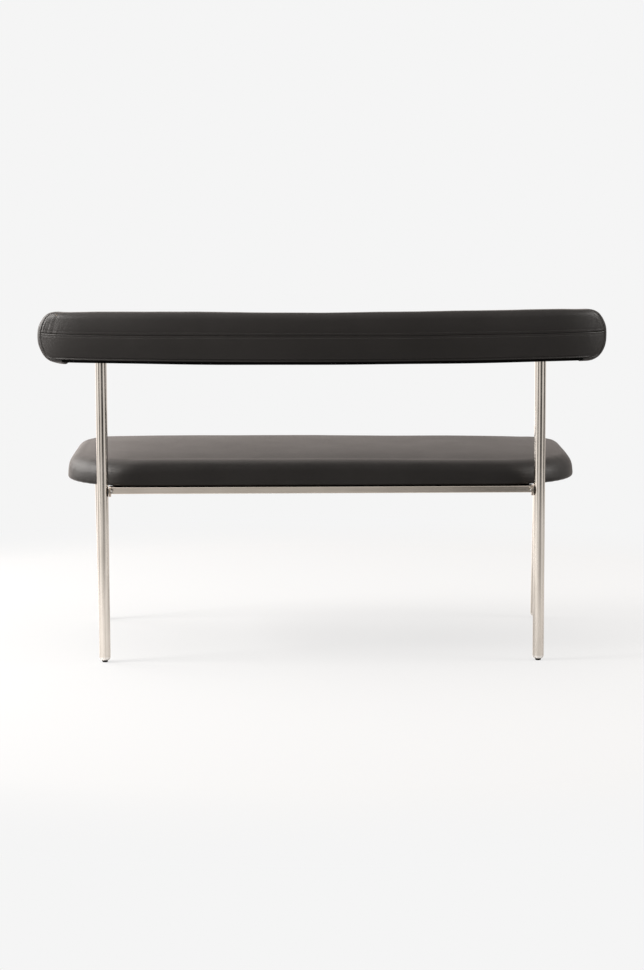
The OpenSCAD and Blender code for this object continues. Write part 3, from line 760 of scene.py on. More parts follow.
def turned_in(piece: bpy.types.Object, radius: float | np.ndarray, depth: float) -> None:
    """Rolls a piece's open border into its seam and adds a hidden allowance behind it.

    Args:
        piece: the cover's piece.
        radius: how far from the border the roll starts, one for all or one for each point.
        depth: how deep the allowance goes.
    """
    points, outward, away = places(piece), normals(piece), border_distance(piece)
    near = np.clip(radius - away, 0, radius)
    sunk = radius - np.sqrt(np.maximum(radius * radius - near * near, 0))
    points = points - outward * sunk[:, None]
    move(piece, points)
    edges = border(piece)
    built = bmesh.new()
    built.from_mesh(piece.data)
    built.verts.ensure_lookup_table()
    built.edges.ensure_lookup_table()
    rim = [built.edges.get((built.verts[a], built.verts[b])) for a, b in edges]
    rim_vertices = {v for e in rim for v in e.verts}
    inward = {v.index: outward[v.index] for v in rim_vertices}
    made = bmesh.ops.extrude_edge_only(built, edges=rim)
    fresh = [v for v in made["geom"] if isinstance(v, bmesh.types.BMVert)]
    for vertex in fresh:
        twin = min((e.other_vert(vertex) for e in vertex.link_edges if e.other_vert(vertex) in rim_vertices),
                   key=lambda w: (w.co - vertex.co).length)
        vertex.co -= Vector(inward[twin.index]) * depth
    for part in built.faces:
        part.smooth = True
    built.to_mesh(piece.data)
    built.free()
    piece.data.update()


def relaxed(piece: bpy.types.Object, shift: np.ndarray, held: np.ndarray, rounds: int) -> np.ndarray:
    """Evens out the moves of a piece's points between neighbours, with the held points kept still."""
    edges = np.zeros(len(piece.data.edges) * 2, int)
    piece.data.edges.foreach_get("vertices", edges)
    a, b = edges.reshape(-1, 2).T
    size = len(shift)
    count = np.bincount(np.concatenate([a, b]), minlength=size)
    free = (1 - held)[:, None]
    for _ in range(rounds):
        around = np.stack([np.bincount(a, weights=shift[b, k], minlength=size)
                           + np.bincount(b, weights=shift[a, k], minlength=size) for k in range(3)], -1)
        shift = (0.5 * shift + 0.5 * around / count[:, None]) * free
    return shift


@dataclass(frozen=True)
class Stuffing:
    """Cloth simulation that swells a cover over its foam, with its seams held."""

    pressure: float = 4.0
    cap: float = 4 * MM
    stiffness: float = 6.0
    bending: float = 0.4
    ease: int = 12
    frames: int = 20

    def swell(self, piece: bpy.types.Object, held: np.ndarray) -> float:
        """Blows the cover up and applies the result.

        Args:
            piece: the cover's piece, in its place.
            held: for each point, 1 where a seam or staple holds it and 0 where it is free.

        Returns:
            The largest move, in metres.
        """
        start = places(piece)
        group = piece.vertex_groups.new(name="held")
        for index in np.nonzero(held > 0)[0]:
            group.add([int(index)], float(held[index]), "REPLACE")
        cloth = piece.modifiers.new("stuffing", "CLOTH")
        settings = {"quality": 5, "mass": 0.3, "tension_stiffness": self.stiffness,
                    "compression_stiffness": self.stiffness, "shear_stiffness": self.stiffness / 2,
                    "bending_stiffness": self.bending, "vertex_group_mass": "held", "use_pressure": True,
                    "uniform_pressure_force": self.pressure}
        for name, value in settings.items():
            setattr(cloth.settings, name, value)
        cloth.settings.effector_weights.gravity = 0
        cloth.collision_settings.use_collision = False
        cloth.point_cache.frame_start, cloth.point_cache.frame_end = 1, self.frames
        scene = bpy.context.scene
        for number in range(1, self.frames + 1):
            scene.frame_set(number)
        graph = bpy.context.evaluated_depsgraph_get()
        settled = bpy.data.meshes.new_from_object(piece.evaluated_get(graph))
        shift = per_point(settled, "co") - start
        piece.modifiers.clear()
        piece.vertex_groups.clear()
        bpy.data.meshes.remove(settled)
        scene.frame_set(1)
        length = np.linalg.norm(shift, axis=1)
        keep = self.cap * np.tanh(length / self.cap) / np.maximum(length, 1e-9)
        move(piece, start + relaxed(piece, shift * keep[:, None], held, self.ease))
        return float(length.max())


# Backrest


@dataclass(frozen=True)
class Bolster:
    """The backrest's shape: a bent, padded bar with rounded ends."""

    bend_radius: float = 2.100
    half_length: float = 0.6395
    height: float = 0.114
    thickness: float = 0.072
    end_radius: float = 0.050
    rear_radius: float = 0.016
    front_radius: float = 0.028
    rear_crown: float = 3 * MM
    front_crown: float = 6 * MM
    seam_rise: float = 6.8 * MM
    seam_angle: float = 56.0
    strip_angle: float = 27.0
    strip_half: float = 0.578
    strip_front_angle: float = 60.0
    lip_angle: float = 12.5
    shift: float = -3.5 * MM
    under_sag: float = 1.6 * MM
    end_fall: float = 26.0 * MM
    fall_start: float = 0.51
    end_slim: float = 1.4 * MM
    slim_start: float = 0.59
    slim_at: float = 34 * MM

    @property
    def outline(self) -> Outline:
        """The bar's outline from behind."""
        return Outline(self.half_length, self.height / 2, self.end_radius, self.end_radius)

    @cached_property
    def centre_y(self) -> float:
        """Where the bend's axis is."""
        low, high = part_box("rear_leg_right")
        x, y = (low.x + high.x) / 2, (low.y + high.y) / 2
        return y - math.sqrt(self.bend_radius**2 - x * x)

    @cached_property
    def mid_z(self) -> float:
        """Height of the bar's middle."""
        low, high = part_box("backrest_front_cover")
        return (low.z + high.z) / 2

    def bent(self, flat: np.ndarray) -> np.ndarray:
        """Returns flat points u, v, w at their places on the sofa, with the bar's small sags."""
        u, v, w = flat.T
        near_end = rising(np.abs(u), self.slim_start, 0.03)
        slim = self.end_slim * bell(np.abs(v), self.slim_at, 16 * MM) * near_end * ((u > 0) | (v > 0))
        fall = rising(np.abs(u), self.fall_start, self.half_length - self.fall_start) ** 3
        turn = (u - np.sign(u) * slim) / self.bend_radius
        reach = self.bend_radius + w - self.end_fall * fall * np.clip(2 * w / self.thickness, 0, 1)
        high, low = np.clip(v / (self.height / 2), 0, 1), np.clip(-v / (self.height / 2), 0, 1)
        z = self.mid_z + v - self.under_sag * low + np.interp(u, *self.top_line) * MM * high
        return np.stack([self.shift + reach * np.sin(turn), self.centre_y + reach * np.cos(turn), z], -1)

    @property
    def top_line(self) -> tuple[tuple, tuple]:
        """Places along the bar, and how many millimetres the stuffing lifts its top there."""
        return ((-0.59, -0.53, -0.44, -0.26, -0.09, 0.0, 0.07, 0.27, 0.42, 0.50, 0.56, 0.585, 0.600, 0.612, 0.630),
                (0.0, 2.0, 2.4, 2.2, 1.2, 0.0, 1.0, 3.0, 1.2, 0.2, -1.8, -2.0, -1.8, -1.6, -2.4))

    def at_end(self, piece: bpy.types.Object) -> np.ndarray:
        """Returns 1 for a piece's points at the bar's ends, falling to 0 away from them."""
        return rising(np.abs(self.flat(places(piece))[:, 0]), 0.575, 0.03)

    def flat(self, points: np.ndarray) -> np.ndarray:
        """Returns the flat u, v, w of points on the sofa."""
        x, y = points[:, 0] - self.shift, points[:, 1] - self.centre_y
        return np.stack([self.bend_radius * np.arctan2(x, y), points[:, 2] - self.mid_z,
                         np.hypot(x, y) - self.bend_radius], -1)

    def seam_v(self, u: np.ndarray) -> np.ndarray:
        """Returns the height of the centre seam, which wanders a little, along the bar."""
        wander = 0.5 * MM * np.sin(u * 9.0 + 0.6) + 0.3 * MM * np.sin(u * 21.0 + 2.0)
        return self.seam_rise + wander - 1.2 * MM * np.clip(-u / self.half_length, 0, 1) ** 2

    def edge_angle(self, points: np.ndarray) -> np.ndarray:
        """Returns the angle round the rear edge at which the panels end, at outline points."""
        ease = smooth(rising(-points[:, 1] / (self.height / 2), 0.80, 0.19))
        end = rising(np.abs(points[:, 0]), 0.595, 0.042)
        drawn_in = np.where(points[:, 0] > 0, 46.0, 30.0)
        return self.seam_angle - drawn_in * end + (self.strip_angle - self.seam_angle) * ease * (1 - end)

    def edge(self, radius: float, crown: float, angle: np.ndarray) -> tuple[np.ndarray, np.ndarray]:
        """Returns inset and drop at angles, in degrees, round the edge of a face with that crown."""
        return Roll(radius, radius, 2 * crown / (self.height / 2 - radius)).at(angle)

    def rear_edge(self, angle: np.ndarray) -> tuple[np.ndarray, np.ndarray]:
        """Returns inset and height w round the rear edge at angles in degrees."""
        inset, drop = self.edge(self.rear_radius, self.rear_crown, angle)
        return inset, self.thickness / 2 - self.rear_crown - drop

    def front_edge(self, angle: np.ndarray) -> tuple[np.ndarray, np.ndarray]:
        """Returns inset and height w round the front edge at angles in degrees."""
        inset, drop = self.edge(self.front_radius, self.front_crown, angle)
        return inset, self.front_crown - self.thickness / 2 + drop

    def dome(self, u: np.ndarray, v: np.ndarray, inset: float) -> np.ndarray:
        """Returns 1 on a face's middle line, falling to 0 at its rim, inset from the outline."""
        across = np.clip(np.abs(v) / (self.height / 2 - inset), 0, 1)
        end = rising(np.abs(u), self.half_length - self.height / 2, self.height / 2 - inset)
        return (1 - across**2) * (1 - end**2)


@dataclass(frozen=True)
class Roll:
    """A padded edge's section, an elliptical turn that starts with the face's own slope."""

    width: float | np.ndarray
    drop: float | np.ndarray
    slope: float | np.ndarray

    def at(self, angle: float | np.ndarray) -> tuple[np.ndarray, np.ndarray]:
        """Returns the inset from the outline and the drop below the face at 0 (face) to 90 (side) degrees."""
        share = self.slope * self.width / self.drop
        first = share / (1 - share)
        start = np.arcsin(first)
        turn = start + (np.pi / 2 - start) * np.asarray(angle) / 90
        return self.width * (1 - np.sin(turn)) / (1 - first), self.drop * (1 - np.cos(turn) / np.cos(start))


def ring_points(points: np.ndarray, outs: np.ndarray, inset: np.ndarray, height: np.ndarray) -> np.ndarray:
    """Returns rows of points round an outline at insets and heights, each an array of rows by columns."""
    flat = points[None] - outs[None] * inset[..., None]
    return np.concatenate([flat, np.broadcast_to(height, inset.shape)[..., None]], -1)


@dataclass
class Backrest:
    """The curved backrest: two rear panels, the front cover, the closing strip and the seams."""

    finishes: Finishes
    form: Bolster = field(default_factory=Bolster)
    coarse: float = 9 * MM
    fine: float = 3.0 * MM
    seam_roll: float = 1.6 * MM
    end_roll: float = 0.9 * MM
    allowance: float = 4 * MM
    stitch_away: float = 5.6 * MM
    stitch_pitch: float = 4.2 * MM
    stitch_length: float = 2.9 * MM
    stitch_radius: float = 0.32 * MM
    stitch_dimple: float = 0.18 * MM
    pucker_wave: float = 8.0 * MM
    rear_waves: tuple = ((0.35 * MM, 0.11, 3.1), (0.16 * MM, 0.035, 8.4))
    front_waves: tuple = ((0.6 * MM, 0.13, 5.2), (0.2 * MM, 0.04, 1.7))
    strip_recess: float = 1.0 * MM
    strip_thickness: float = 1.0 * MM
    strip_hole_gap: float = 0.4 * MM
    rows_from_seam: tuple = (0, 0.9, 1.8, 2.8, 4.2, 5.6, 7.2, 10, 14, 18.5, 23.5, 29, 34.5)

    def build(self) -> list[bpy.types.Object]:
        """Builds and dresses every piece of the backrest."""
        pieces = [
            self.rear_panel("backrest_upper_panel", Patch.ABOVE, "backrest_upper_back_panel"),
            self.rear_panel("backrest_lower_panel", Patch.BELOW, "backrest_lower_back_panel"),
            self.front_cover(),
            self.closing_strip(),
        ]
        pieces.append(self.stitching(pieces[0], pieces[1]))
        return pieces

    def rear_panel(self, name: str, patch: Patch, node: str) -> bpy.types.Object:
        """Builds the rear panel above or below the centre seam.

        Args:
            name: the piece's name.
            patch: which panel.
            node: the CAD node that it stands for.

        Returns:
            The piece.
        """
        form, sign = self.form, 1 if patch is Patch.ABOVE else -1
        seam_end = float(form.seam_v(np.zeros(1))[0])
        sides = form.outline.sides(patch, seam_end)
        height = form.height / 2 - form.rear_radius - sign * seam_end
        rows = np.array(self.rows_from_seam) * MM
        t = np.append(rows[rows < height - 6 * MM], height) / height
        s = steps(2 * form.half_length, self.coarse, self.fine, 0.16)
        right, right_out = sampled(sides["right"], t)
        top, top_out = sampled(sides["top"], s)
        left, left_out = sampled(sides["left"], 1 - t[::-1])
        inset = form.rear_radius
        r_in, l_in = right - right_out * inset, (left - left_out * inset)[::-1]
        t_in = (top - top_out * inset)[::-1]
        across = l_in[0, 0] + (r_in[0, 0] - l_in[0, 0]) * s
        seam = np.stack([across, form.seam_v(across)], -1)
        r_in[:, 1] += (seam[-1, 1] - seam_end) * (1 - t)
        l_in[:, 1] += (seam[0, 1] - seam_end) * (1 - t)
        flat = coons(seam, r_in, t_in, l_in, s, t)
        bulge = form.dome(flat[..., 0], flat[..., 1], inset)
        height_w = form.thickness / 2 - form.rear_crown + form.rear_crown * bulge
        grid = np.concatenate([flat, height_w[..., None]], -1)
        sheet = Sheet()
        ids = sheet.grid(grid)
        rim = np.concatenate([ids[:, -1], ids[-1, -2::-1], ids[-2::-1, 0]])
        points = np.concatenate([right, top[1:], left[1:]])
        outs = np.concatenate([right_out, top_out[1:], left_out[1:]])
        ends = form.edge_angle(points)
        shares = np.array([0.2, 0.4, 0.6, 0.76, 0.88, 1.0])
        rolled = form.rear_edge(ends[None] * shares[:, None])
        sheet.band(rim, ring_points(points, outs, *rolled), closed=False)
        piece = mesh_piece(name, form.bent(np.array(sheet.points)), sheet.faces)
        self.stuffed(piece, (0, 1, 0), Stuffing(pressure=5.0, cap=2.2 * MM), lambda p: self.sculpt_rear(p, sign))
        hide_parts(node)
        return piece

    def stuffed(self, piece: bpy.types.Object, look: tuple, stuffing: Stuffing, sculpt: Callable) -> None:
        """Swells a piece of the cover, sculpts it, turns its border in and dresses it.

        Args:
            piece: the piece, as it lies on the bar.
            look: the direction that its faces look in.
            stuffing: what swells it.
            sculpt: what adds its folds and unevenness.
        """
        face(piece, look)
        held = (border_distance(piece, 2 * MM) < 1.2 * MM).astype(float)
        LOG.info("%s swelled by %.1f mm", piece.name, stuffing.swell(piece, held) / MM)
        subdivided(piece)
        sculpt(piece)
        turned_in(piece, self.seam_roll + self.end_roll * self.form.at_end(piece), self.allowance)
        self.finishes.dress(piece, "cover")

    def sculpt_rear(self, piece: bpy.types.Object, sign: int) -> None:
        """Adds a rear panel's puckers, top-stitch dimple, lower lip and slight unevenness."""
        form = self.form
        points, outward = places(piece), normals(piece)
        u, v, _ = form.flat(points).T
        away = np.abs(v - form.seam_v(u))
        lift = unevenness(points, *self.rear_waves) - self.stitch_dimple * bell(away, self.stitch_away, 1.5 * MM)
        lean = np.stack([u + 0.32 * away + 3.0 * away**2, 0.07 * v, 0 * v], -1)
        ridge = unevenness(lean, (1.7, 0.5 * self.pucker_wave, 6.3))
        lift += 0.07 * MM * ridge * np.exp(-away / (9 * MM))
        end = rising(u, 0.505, 0.075) * rising(-u, -0.636, 0.02)
        strong = rising(u, 0.545, 0.05)
        reach = (14 + 16 * strong) * MM if sign > 0 else 7 * MM
        lift += (0.16 + 0.70 * strong) * MM * end * ridge * np.exp(-away / reach) * (1.0 if sign > 0 else 0.3)
        far = rising(-u, 0.54, 0.06) * rising(u, -0.63, 0.02)
        lift += 0.12 * MM * far * ridge * np.exp(-away / (10 * MM))
        if sign < 0:
            above_bottom = v + form.height / 2 + form.under_sag
            middle = rising(-np.abs(u), -form.strip_half - 24 * MM, 30 * MM)
            for angle, depth, width in ((form.lip_angle, -1.7, 1.6), (24.0, 1.3, 2.0)):
                lip = form.rear_edge(np.array([angle]))[0][0]
                lift += depth * MM * bell(above_bottom, lip, width * MM) * middle
        move(piece, points + outward * lift[:, None])

    def front_cover(self) -> bpy.types.Object:
        """Builds the cover over the front, the top, the ends and the front of the underside."""
        form = self.form
        s = steps(2 * form.half_length, self.coarse, self.fine * 1.4, 0.10)
        t = steps(0.11, 9 * MM, 7 * MM, 0.03)
        inset = form.front_radius
        flat, points, outs = filled(form.outline, s, t, inset)
        bulge = form.dome(flat[..., 0], flat[..., 1], inset)
        depth = form.front_crown - form.thickness / 2 - form.front_crown * bulge
        sheet = Sheet()
        rim = rim_of(sheet.grid(np.concatenate([flat, depth[..., None]], -1)))
        front = [form.front_edge(np.full(len(points), a)) for a in (15, 30, 45, form.strip_front_angle, 75, 90)]
        ends = form.edge_angle(points)
        rear = [form.rear_edge(90 + (ends - 90) * k) for k in (0.0, 0.35, 0.65, 0.82, 1.0)]
        side = [(front[-1][0] * (1 - k) + rear[0][0] * k, front[-1][1] * (1 - k) + rear[0][1] * k)
                for k in (0.33, 0.67)]
        rows = front + side + rear
        insets, heights = np.array([r[0] for r in rows]), np.array([r[1] for r in rows])
        under = (points[:, 1] < -form.height / 2 + 1e-6) & (np.abs(points[:, 0]) < form.strip_half)
        cell = under & np.roll(under, -1)
        keep = np.ones((len(rows), len(points)), bool)
        keep[4:, cell] = False
        sheet.band(rim, ring_points(points, outs, insets, heights), closed=True, keep=keep)
        piece = mesh_piece("backrest_front_pad", form.bent(np.array(sheet.points)), sheet.faces)
        self.stuffed(piece, (0, -1, 0), Stuffing(pressure=3.0, cap=3.0 * MM, stiffness=8.0), self.sculpt_front)
        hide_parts("backrest_front_cover", "backrest_front_foam", "backrest_back_foam")
        return piece

    def sculpt_front(self, piece: bpy.types.Object) -> None:
        """Adds the front cover's unevenness, its fuller lower corners and puckers at its seams."""
        form = self.form
        points, outward = places(piece), normals(piece)
        u, v, w = form.flat(points).T
        lift = unevenness(points, *self.front_waves)
        seam_w = form.thickness / 2 - form.rear_crown - form.rear_radius / 2
        from_seam = np.clip(seam_w - w, 0, None)
        around = u * 2 * np.pi / self.pucker_wave + 0.8 * np.sin(u * 41.0)
        ends = 0.35 + 0.65 * rising(np.abs(u), 0.5, 0.08)
        lift += 0.10 * MM * np.cos(around) * np.exp(-from_seam / (9 * MM)) * ends
        low = np.clip(-v / (form.height / 2) - 0.5, 0, 0.4) / 0.4
        fuller = 6.0 * bell(u, 0.580, 0.024) + 2.4 * bell(u, -0.575, 0.020)
        lift += MM * fuller * low * rising(-w, -14 * MM, 22 * MM)
        move(piece, points + outward * lift[:, None])

    def closing_strip(self) -> bpy.types.Object:
        """Builds the dark strip that closes the underside, with holes for the legs; its cloth is darkened further as
        painted shade.
        """
        form = self.form
        half = form.strip_half + 3 * MM
        u = -half + 2 * half * steps(2 * half, 8 * MM, 5 * MM, 0.05)
        angles = [("rear", a) for a in (form.strip_angle - 4, 50, 62, 76, 90)]
        angles += [("front", a) for a in (90, 76, form.strip_front_angle - 6)]
        rows = []
        for which, angle in angles:
            inset, w = (form.rear_edge if which == "rear" else form.front_edge)(np.full(len(u), float(angle)))
            ease = 0.4 * MM * np.sin(u * 16.0 + 0.8) * np.sin(u * 5.0)
            rows.append(np.stack([u, -form.height / 2 + inset + self.strip_recess + ease, w - 0 * u], -1))
        sheet = Sheet()
        sheet.grid(np.array(rows))
        piece = mesh_piece("backrest_underside_strip", form.bent(np.array(sheet.points)), sheet.faces)
        face(piece, (0, 0, -1))
        subdivided(piece)
        solid = piece.modifiers.new("thickness", "SOLIDIFY")
        solid.thickness, solid.offset = self.strip_thickness, -1.0
        for name in ("rear_leg_left", "rear_leg_right"):
            low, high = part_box(name)
            cutter = rod("strip_cutter", Vector(((low.x + high.x) / 2, (low.y + high.y) / 2, 0.64)),
                         Vector((0, 0, 1)), 0.08, (high.x - low.x) / 2 + self.strip_hole_gap, 48)
            cut = piece.modifiers.new("leg_hole", "BOOLEAN")
            cut.operation, cut.solver, cut.object = "DIFFERENCE", "EXACT", cutter
            apply_modifiers(piece)
            bpy.data.objects.remove(cutter)
        self.finishes.dress(piece, "underside")
        # The strip wears the darker copy of the cloth, painted shade of the slot it lies in.
        self.finishes.wear(piece, self.finishes.strip_shade_cloth)
        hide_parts("backrest_closing_strip")
        return piece

    def stitching(self, upper: bpy.types.Object, lower: bpy.types.Object) -> bpy.types.Object:
        """Sews the two rows of top-stitching along the centre seam.

        Args:
            upper: the panel above the seam.
            lower: the panel below it.

        Returns:
            The thread, as one piece.
        """
        form, points, faces = self.form, [], []
        count = int(2 * (form.half_length - 5 * MM) / self.stitch_pitch)
        for panel, sign in ((upper, 1), (lower, -1)):
            body = BVHTree.FromPolygons(places(panel).tolist(), [list(p.vertices) for p in panel.data.polygons])
            for k in range(count):
                u = -form.half_length + 5 * MM + self.stitch_pitch * (k + 0.5)
                ends = []
                for side in (-0.5, 0.5):
                    at = u + side * self.stitch_length
                    v = float(form.seam_v(np.array([at]))[0]) + sign * self.stitch_away
                    outside = Vector(form.bent(np.array([[at, v, 0.06]]))[0])
                    inside = Vector(form.bent(np.array([[at, v, 0.0]]))[0])
                    where, normal, _, _ = body.ray_cast(outside, (inside - outside).normalized())
                    if where is not None:
                        ends.append((where, normal))
                if len(ends) == 2:
                    tube(points, faces, stitch(ends, self.stitch_radius), sides=6)
        piece = mesh_piece("backrest_seam_stitches", np.array(points), faces)
        self.finishes.wear(piece, self.finishes.thread)
        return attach(piece, BODY)


def tube(points: list, faces: list, rings: list, sides: int, closed: bool = False) -> None:
    """Adds a tube.

    Args:
        points: the piece's points so far.
        faces: its faces so far.
        rings: for each ring its middle, two directions across the tube and its radius.
        sides: how many sides the tube has.
        closed: whether the last ring joins the first one.
    """
    first, count = len(points), len(rings)
    for middle, across, up, radius in rings:
        for k in range(sides):
            turn = 2 * math.pi * k / sides
            points.append(tuple(middle + (across * math.cos(turn) + up * math.sin(turn)) * radius))
    for ring in range(count if closed else count - 1):
        low, high = first + ring * sides, first + (ring + 1) % count * sides
        faces.extend((low + k, low + (k + 1) % sides, high + (k + 1) % sides, high + k) for k in range(sides))
    if not closed:
        faces.append(tuple(first + k for k in reversed(range(sides))))
        faces.append(tuple(first + (count - 1) * sides + k for k in range(sides)))


def stitch(ends: list, radius: float) -> list:
    """Shapes one stitch, a short thread that dips into the cover at both ends.

    Args:
        ends: the place and the cover's normal at each end.
        radius: the thread's radius.

    Returns:
        The rings, as tube takes them.
    """
    (a, na), (b, nb) = ends
    along, rings = (b - a).normalized(), []
    for share, lift in ((0.0, -1.2), (0.14, 0.15), (0.5, 0.75), (0.86, 0.15), (1.0, -1.2)):
        up = na.lerp(nb, share).normalized()
        rings.append((a.lerp(b, share) + up * radius * lift, along.cross(up), up, radius))
    return rings


def rod(name: str, start: Vector, along: Vector, length: float, radius: float, sides: int) -> bpy.types.Object:
    """Makes a plain rod for cutting with."""
    turn = along.to_track_quat("Z", "Y").to_matrix().to_4x4()
    return shaped(name, bmesh.ops.create_cone, segments=sides, radius1=radius, radius2=radius, depth=length,
                  matrix=Matrix.Translation(start + along * length / 2) @ turn)


# Seat


@dataclass(frozen=True)
class SeatForm:
    """The seat's shape: a thin slab with a soft upper edge and large corners."""

    half_u: float = 0.577
    depth: float = 0.480
    rear_radius: float = 0.176
    front_radius: float = 0.085
    edge_height: float = 0.0555
    crown: float = 9.5 * MM
    front_rise: float = 3.5 * MM
    end_roll: float = 0.037
    front_roll: float = 0.033
    low_radius: float = 6 * MM
    flange: float = 0.024

    @property
    def outline(self) -> Outline:
        """The slab's outline from above, with the rear at the top."""
        return Outline(self.half_u, self.depth / 2, self.rear_radius, self.front_radius)

    def top(self, flat: np.ndarray) -> np.ndarray:
        """Returns the height of the slab's top above its underside, at flat points."""
        side = np.clip(np.abs(flat[..., 0]) / (self.half_u - self.end_roll), 0, 1)
        deep = np.clip(np.abs(flat[..., 1]) / (self.depth / 2 - self.front_roll), 0, 1)
        rise = self.front_rise * (0.5 - flat[..., 1] / self.depth) + np.interp(flat[..., 0], *self.top_line) * MM
        return self.edge_height + self.crown * (1 - side**6) * (1 - deep**2) + rise

    def roll(self, points: np.ndarray) -> tuple[np.ndarray, np.ndarray]:
        """Returns the width and height of the soft upper edge at outline points: softer at the ends."""
        along, front = np.abs(points[:, 0]), np.clip(-points[:, 1] / 0.12, 0, 1)
        width, height = (np.interp(along, (0, 0.28, 0.38, 0.46, 0.55, self.half_u), sizes) * MM
                         for sizes in ((24, 25, 28, 34, 35, 27), (23, 25, 29, 38, 42, 33)))
        return width + (self.front_roll - width) * front, height + (self.front_roll - height) * front

    @property
    def top_line(self) -> tuple[tuple, tuple]:
        """Places along the seat, and how many millimetres its stuffing lifts the top there."""
        return ((-0.56, -0.48, -0.38, -0.19, 0.0, 0.19, 0.38, 0.48, 0.56),
                (-2.5, -3.0, -0.8, 0.5, 2.4, 2.6, 2.8, 1.8, 1.0))

    @property
    def origin(self) -> Vector:
        """The middle of the slab's underside."""
        low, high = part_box("seat_cover")
        return Vector(((low.x + high.x) / 2, (low.y + high.y) / 2, low.z))


@dataclass
class Seat:
    """The seat: its padded cover and the cloth under it."""

    finishes: Finishes
    form: SeatForm = field(default_factory=SeatForm)
    coarse: float = 12 * MM
    fine: float = 7 * MM
    waves: tuple = ((0.9 * MM, 0.22, 4.4), (0.35 * MM, 0.07, 2.2))
    gather_height: float = 0.22 * MM
    cloth_drop: float = 2.2 * MM
    cloth_ripple: float = 0.25 * MM

    def build(self) -> list[bpy.types.Object]:
        """Builds and dresses the seat's pieces."""
        return [self.cover(), self.dust_cover()]

    def walked(self, inset: Callable | float, coarse: float, fine: float) -> tuple[np.ndarray, np.ndarray, np.ndarray]:
        """Fills the outline, drawn in by inset, with a grid.

        Args:
            inset: how far the grid's rim lies inside the outline, or what gives this at outline points.
            coarse: the step in the middle.
            fine: the step near the rim.

        Returns:
            The grid, and the outline's points and outward directions round it.
        """
        s = steps(2 * self.form.half_u, coarse, fine, 0.12)
        t = steps(self.form.depth, coarse, fine, 0.09)
        return filled(self.form.outline, s, t, inset)

    def cover(self) -> bpy.types.Object:
        """Builds the seat's cover, from its crowned top round to the flange under the board."""
        form = self.form
        flat, points, outs = self.walked(lambda p: form.roll(p)[0], self.coarse, self.fine)
        width, height = form.roll(points)
        sheet = Sheet()
        ids = sheet.grid(np.concatenate([flat, form.top(flat)[..., None]], -1))
        rim = points - outs * width[:, None]
        level = form.top(rim)
        roll = Roll(width, height, (form.top(rim - outs * MM) - level) / MM)
        rows = []
        for angle in (9, 18, 28, 38, 48, 58, 68, 79, 90):
            inset, drop = roll.at(angle)
            rows.append((inset, level - drop))
        rows.append((0.0, 0.5 * (level - height) + 0.5 * form.low_radius))
        for angle in (90, 60, 30, 0):
            a = math.radians(angle)
            rows.append((form.low_radius * (1 - math.sin(a)), form.low_radius * (1 - math.cos(a))))
        rows += [(0.5 * form.flange, 0.0), (form.flange, 0.3 * MM)]
        insets = np.array([inset + 0 * level for inset, _ in rows])
        heights = np.array([height + 0 * level for _, height in rows])
        sheet.band(rim_of(ids), ring_points(points, outs, insets, heights), closed=True)
        origin = self.form.origin
        piece = mesh_piece("seat_pad", np.array(sheet.points) + np.array(origin), sheet.faces)
        face(piece, (0, 0, 1))
        level = places(piece)[:, 2] - origin.z
        held = np.clip((form.low_radius * 2.2 - level) / form.low_radius, 0, 1)
        grown = Stuffing(pressure=2.0, cap=3.0 * MM, stiffness=10.0, ease=30).swell(piece, held)
        LOG.info("seat_pad swelled by %.1f mm", grown / MM)
        subdivided(piece)
        self.sculpt(piece)
        self.finishes.dress(piece, "cover")
        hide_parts("seat_cover", "seat_foam")
        return piece

    def sculpt(self, piece: bpy.types.Object) -> None:
        """Adds the cover's slow unevenness and the gathers under its rounded corners."""
        form, origin = self.form, self.form.origin
        points, outward = places(piece), normals(piece)
        x, y, level = points[:, 0], points[:, 1] - origin.y, points[:, 2] - origin.z
        lift = unevenness(points, *self.waves) * np.clip(level / (10 * MM), 0, 1)
        corner_u = form.half_u - np.where(y > 0, form.rear_radius, form.front_radius)
        corner_v = form.depth / 2 - np.where(y > 0, form.rear_radius, form.front_radius)
        du, dv = np.abs(x) - corner_u, np.abs(y) - corner_v
        turn = np.arctan2(np.clip(dv, 0, None), np.clip(du, 1e-6, None))
        in_corner = (du > 0) & (dv > 0)
        gathers = np.cos(turn * np.where(y > 0, 46, 26)) * in_corner * np.sin(2 * turn) ** 2
        low = np.clip((9 * MM - level) / (9 * MM), 0, 1)
        lift += self.gather_height * gathers * low
        move(piece, points + outward * lift[:, None])

    def dust_cover(self) -> bpy.types.Object:
        """Builds the cloth that is stapled under the seat and sags a little between the rails."""
        low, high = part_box("seat_dust_cover")
        inset = self.form.half_u - (high.x - low.x) / 2
        flat, points, _ = self.walked(inset, 12 * MM, 12 * MM)
        origin = self.form.origin
        u, v = flat[..., 0], flat[..., 1]
        deep = [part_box(n) for n in ("side_rail_left", "centre_rail", "side_rail_right")]
        cross = [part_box(n) for n in ("front_rail", "rear_rail")]
        y_rails = [(a.y + b.y) / 2 - origin.y for a, b in cross]
        inside = (v > y_rails[0]) & (v < y_rails[1])
        sag = np.ones_like(u)
        for x in ((a.x + b.x) / 2 for a, b in deep):
            sag = np.where(inside, np.minimum(sag, rising(np.abs(u - x), 15 * MM, 0.11)), sag)
        for y in y_rails:
            sag = np.minimum(sag, rising(np.abs(v - y), 15 * MM, 0.09))
        edge = form_edge(flat, self.form.outline, inset)
        sag = np.minimum(sag, np.clip(edge / 0.06, 0, 1))
        drop = self.cloth_drop * smooth(sag) + self.cloth_ripple * np.sin(u * 70) * np.sin(v * 55) * sag
        sheet = Sheet()
        middle = (low.z + high.z) / 2 - origin.z
        sheet.grid(np.concatenate([flat, (middle - drop)[..., None]], -1))
        piece = mesh_piece("seat_underside_cloth", np.array(sheet.points) + np.array(origin), sheet.faces)
        face(piece, (0, 0, -1))
        self.finishes.dress(piece, "underside")
        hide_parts("seat_dust_cover")
        return piece


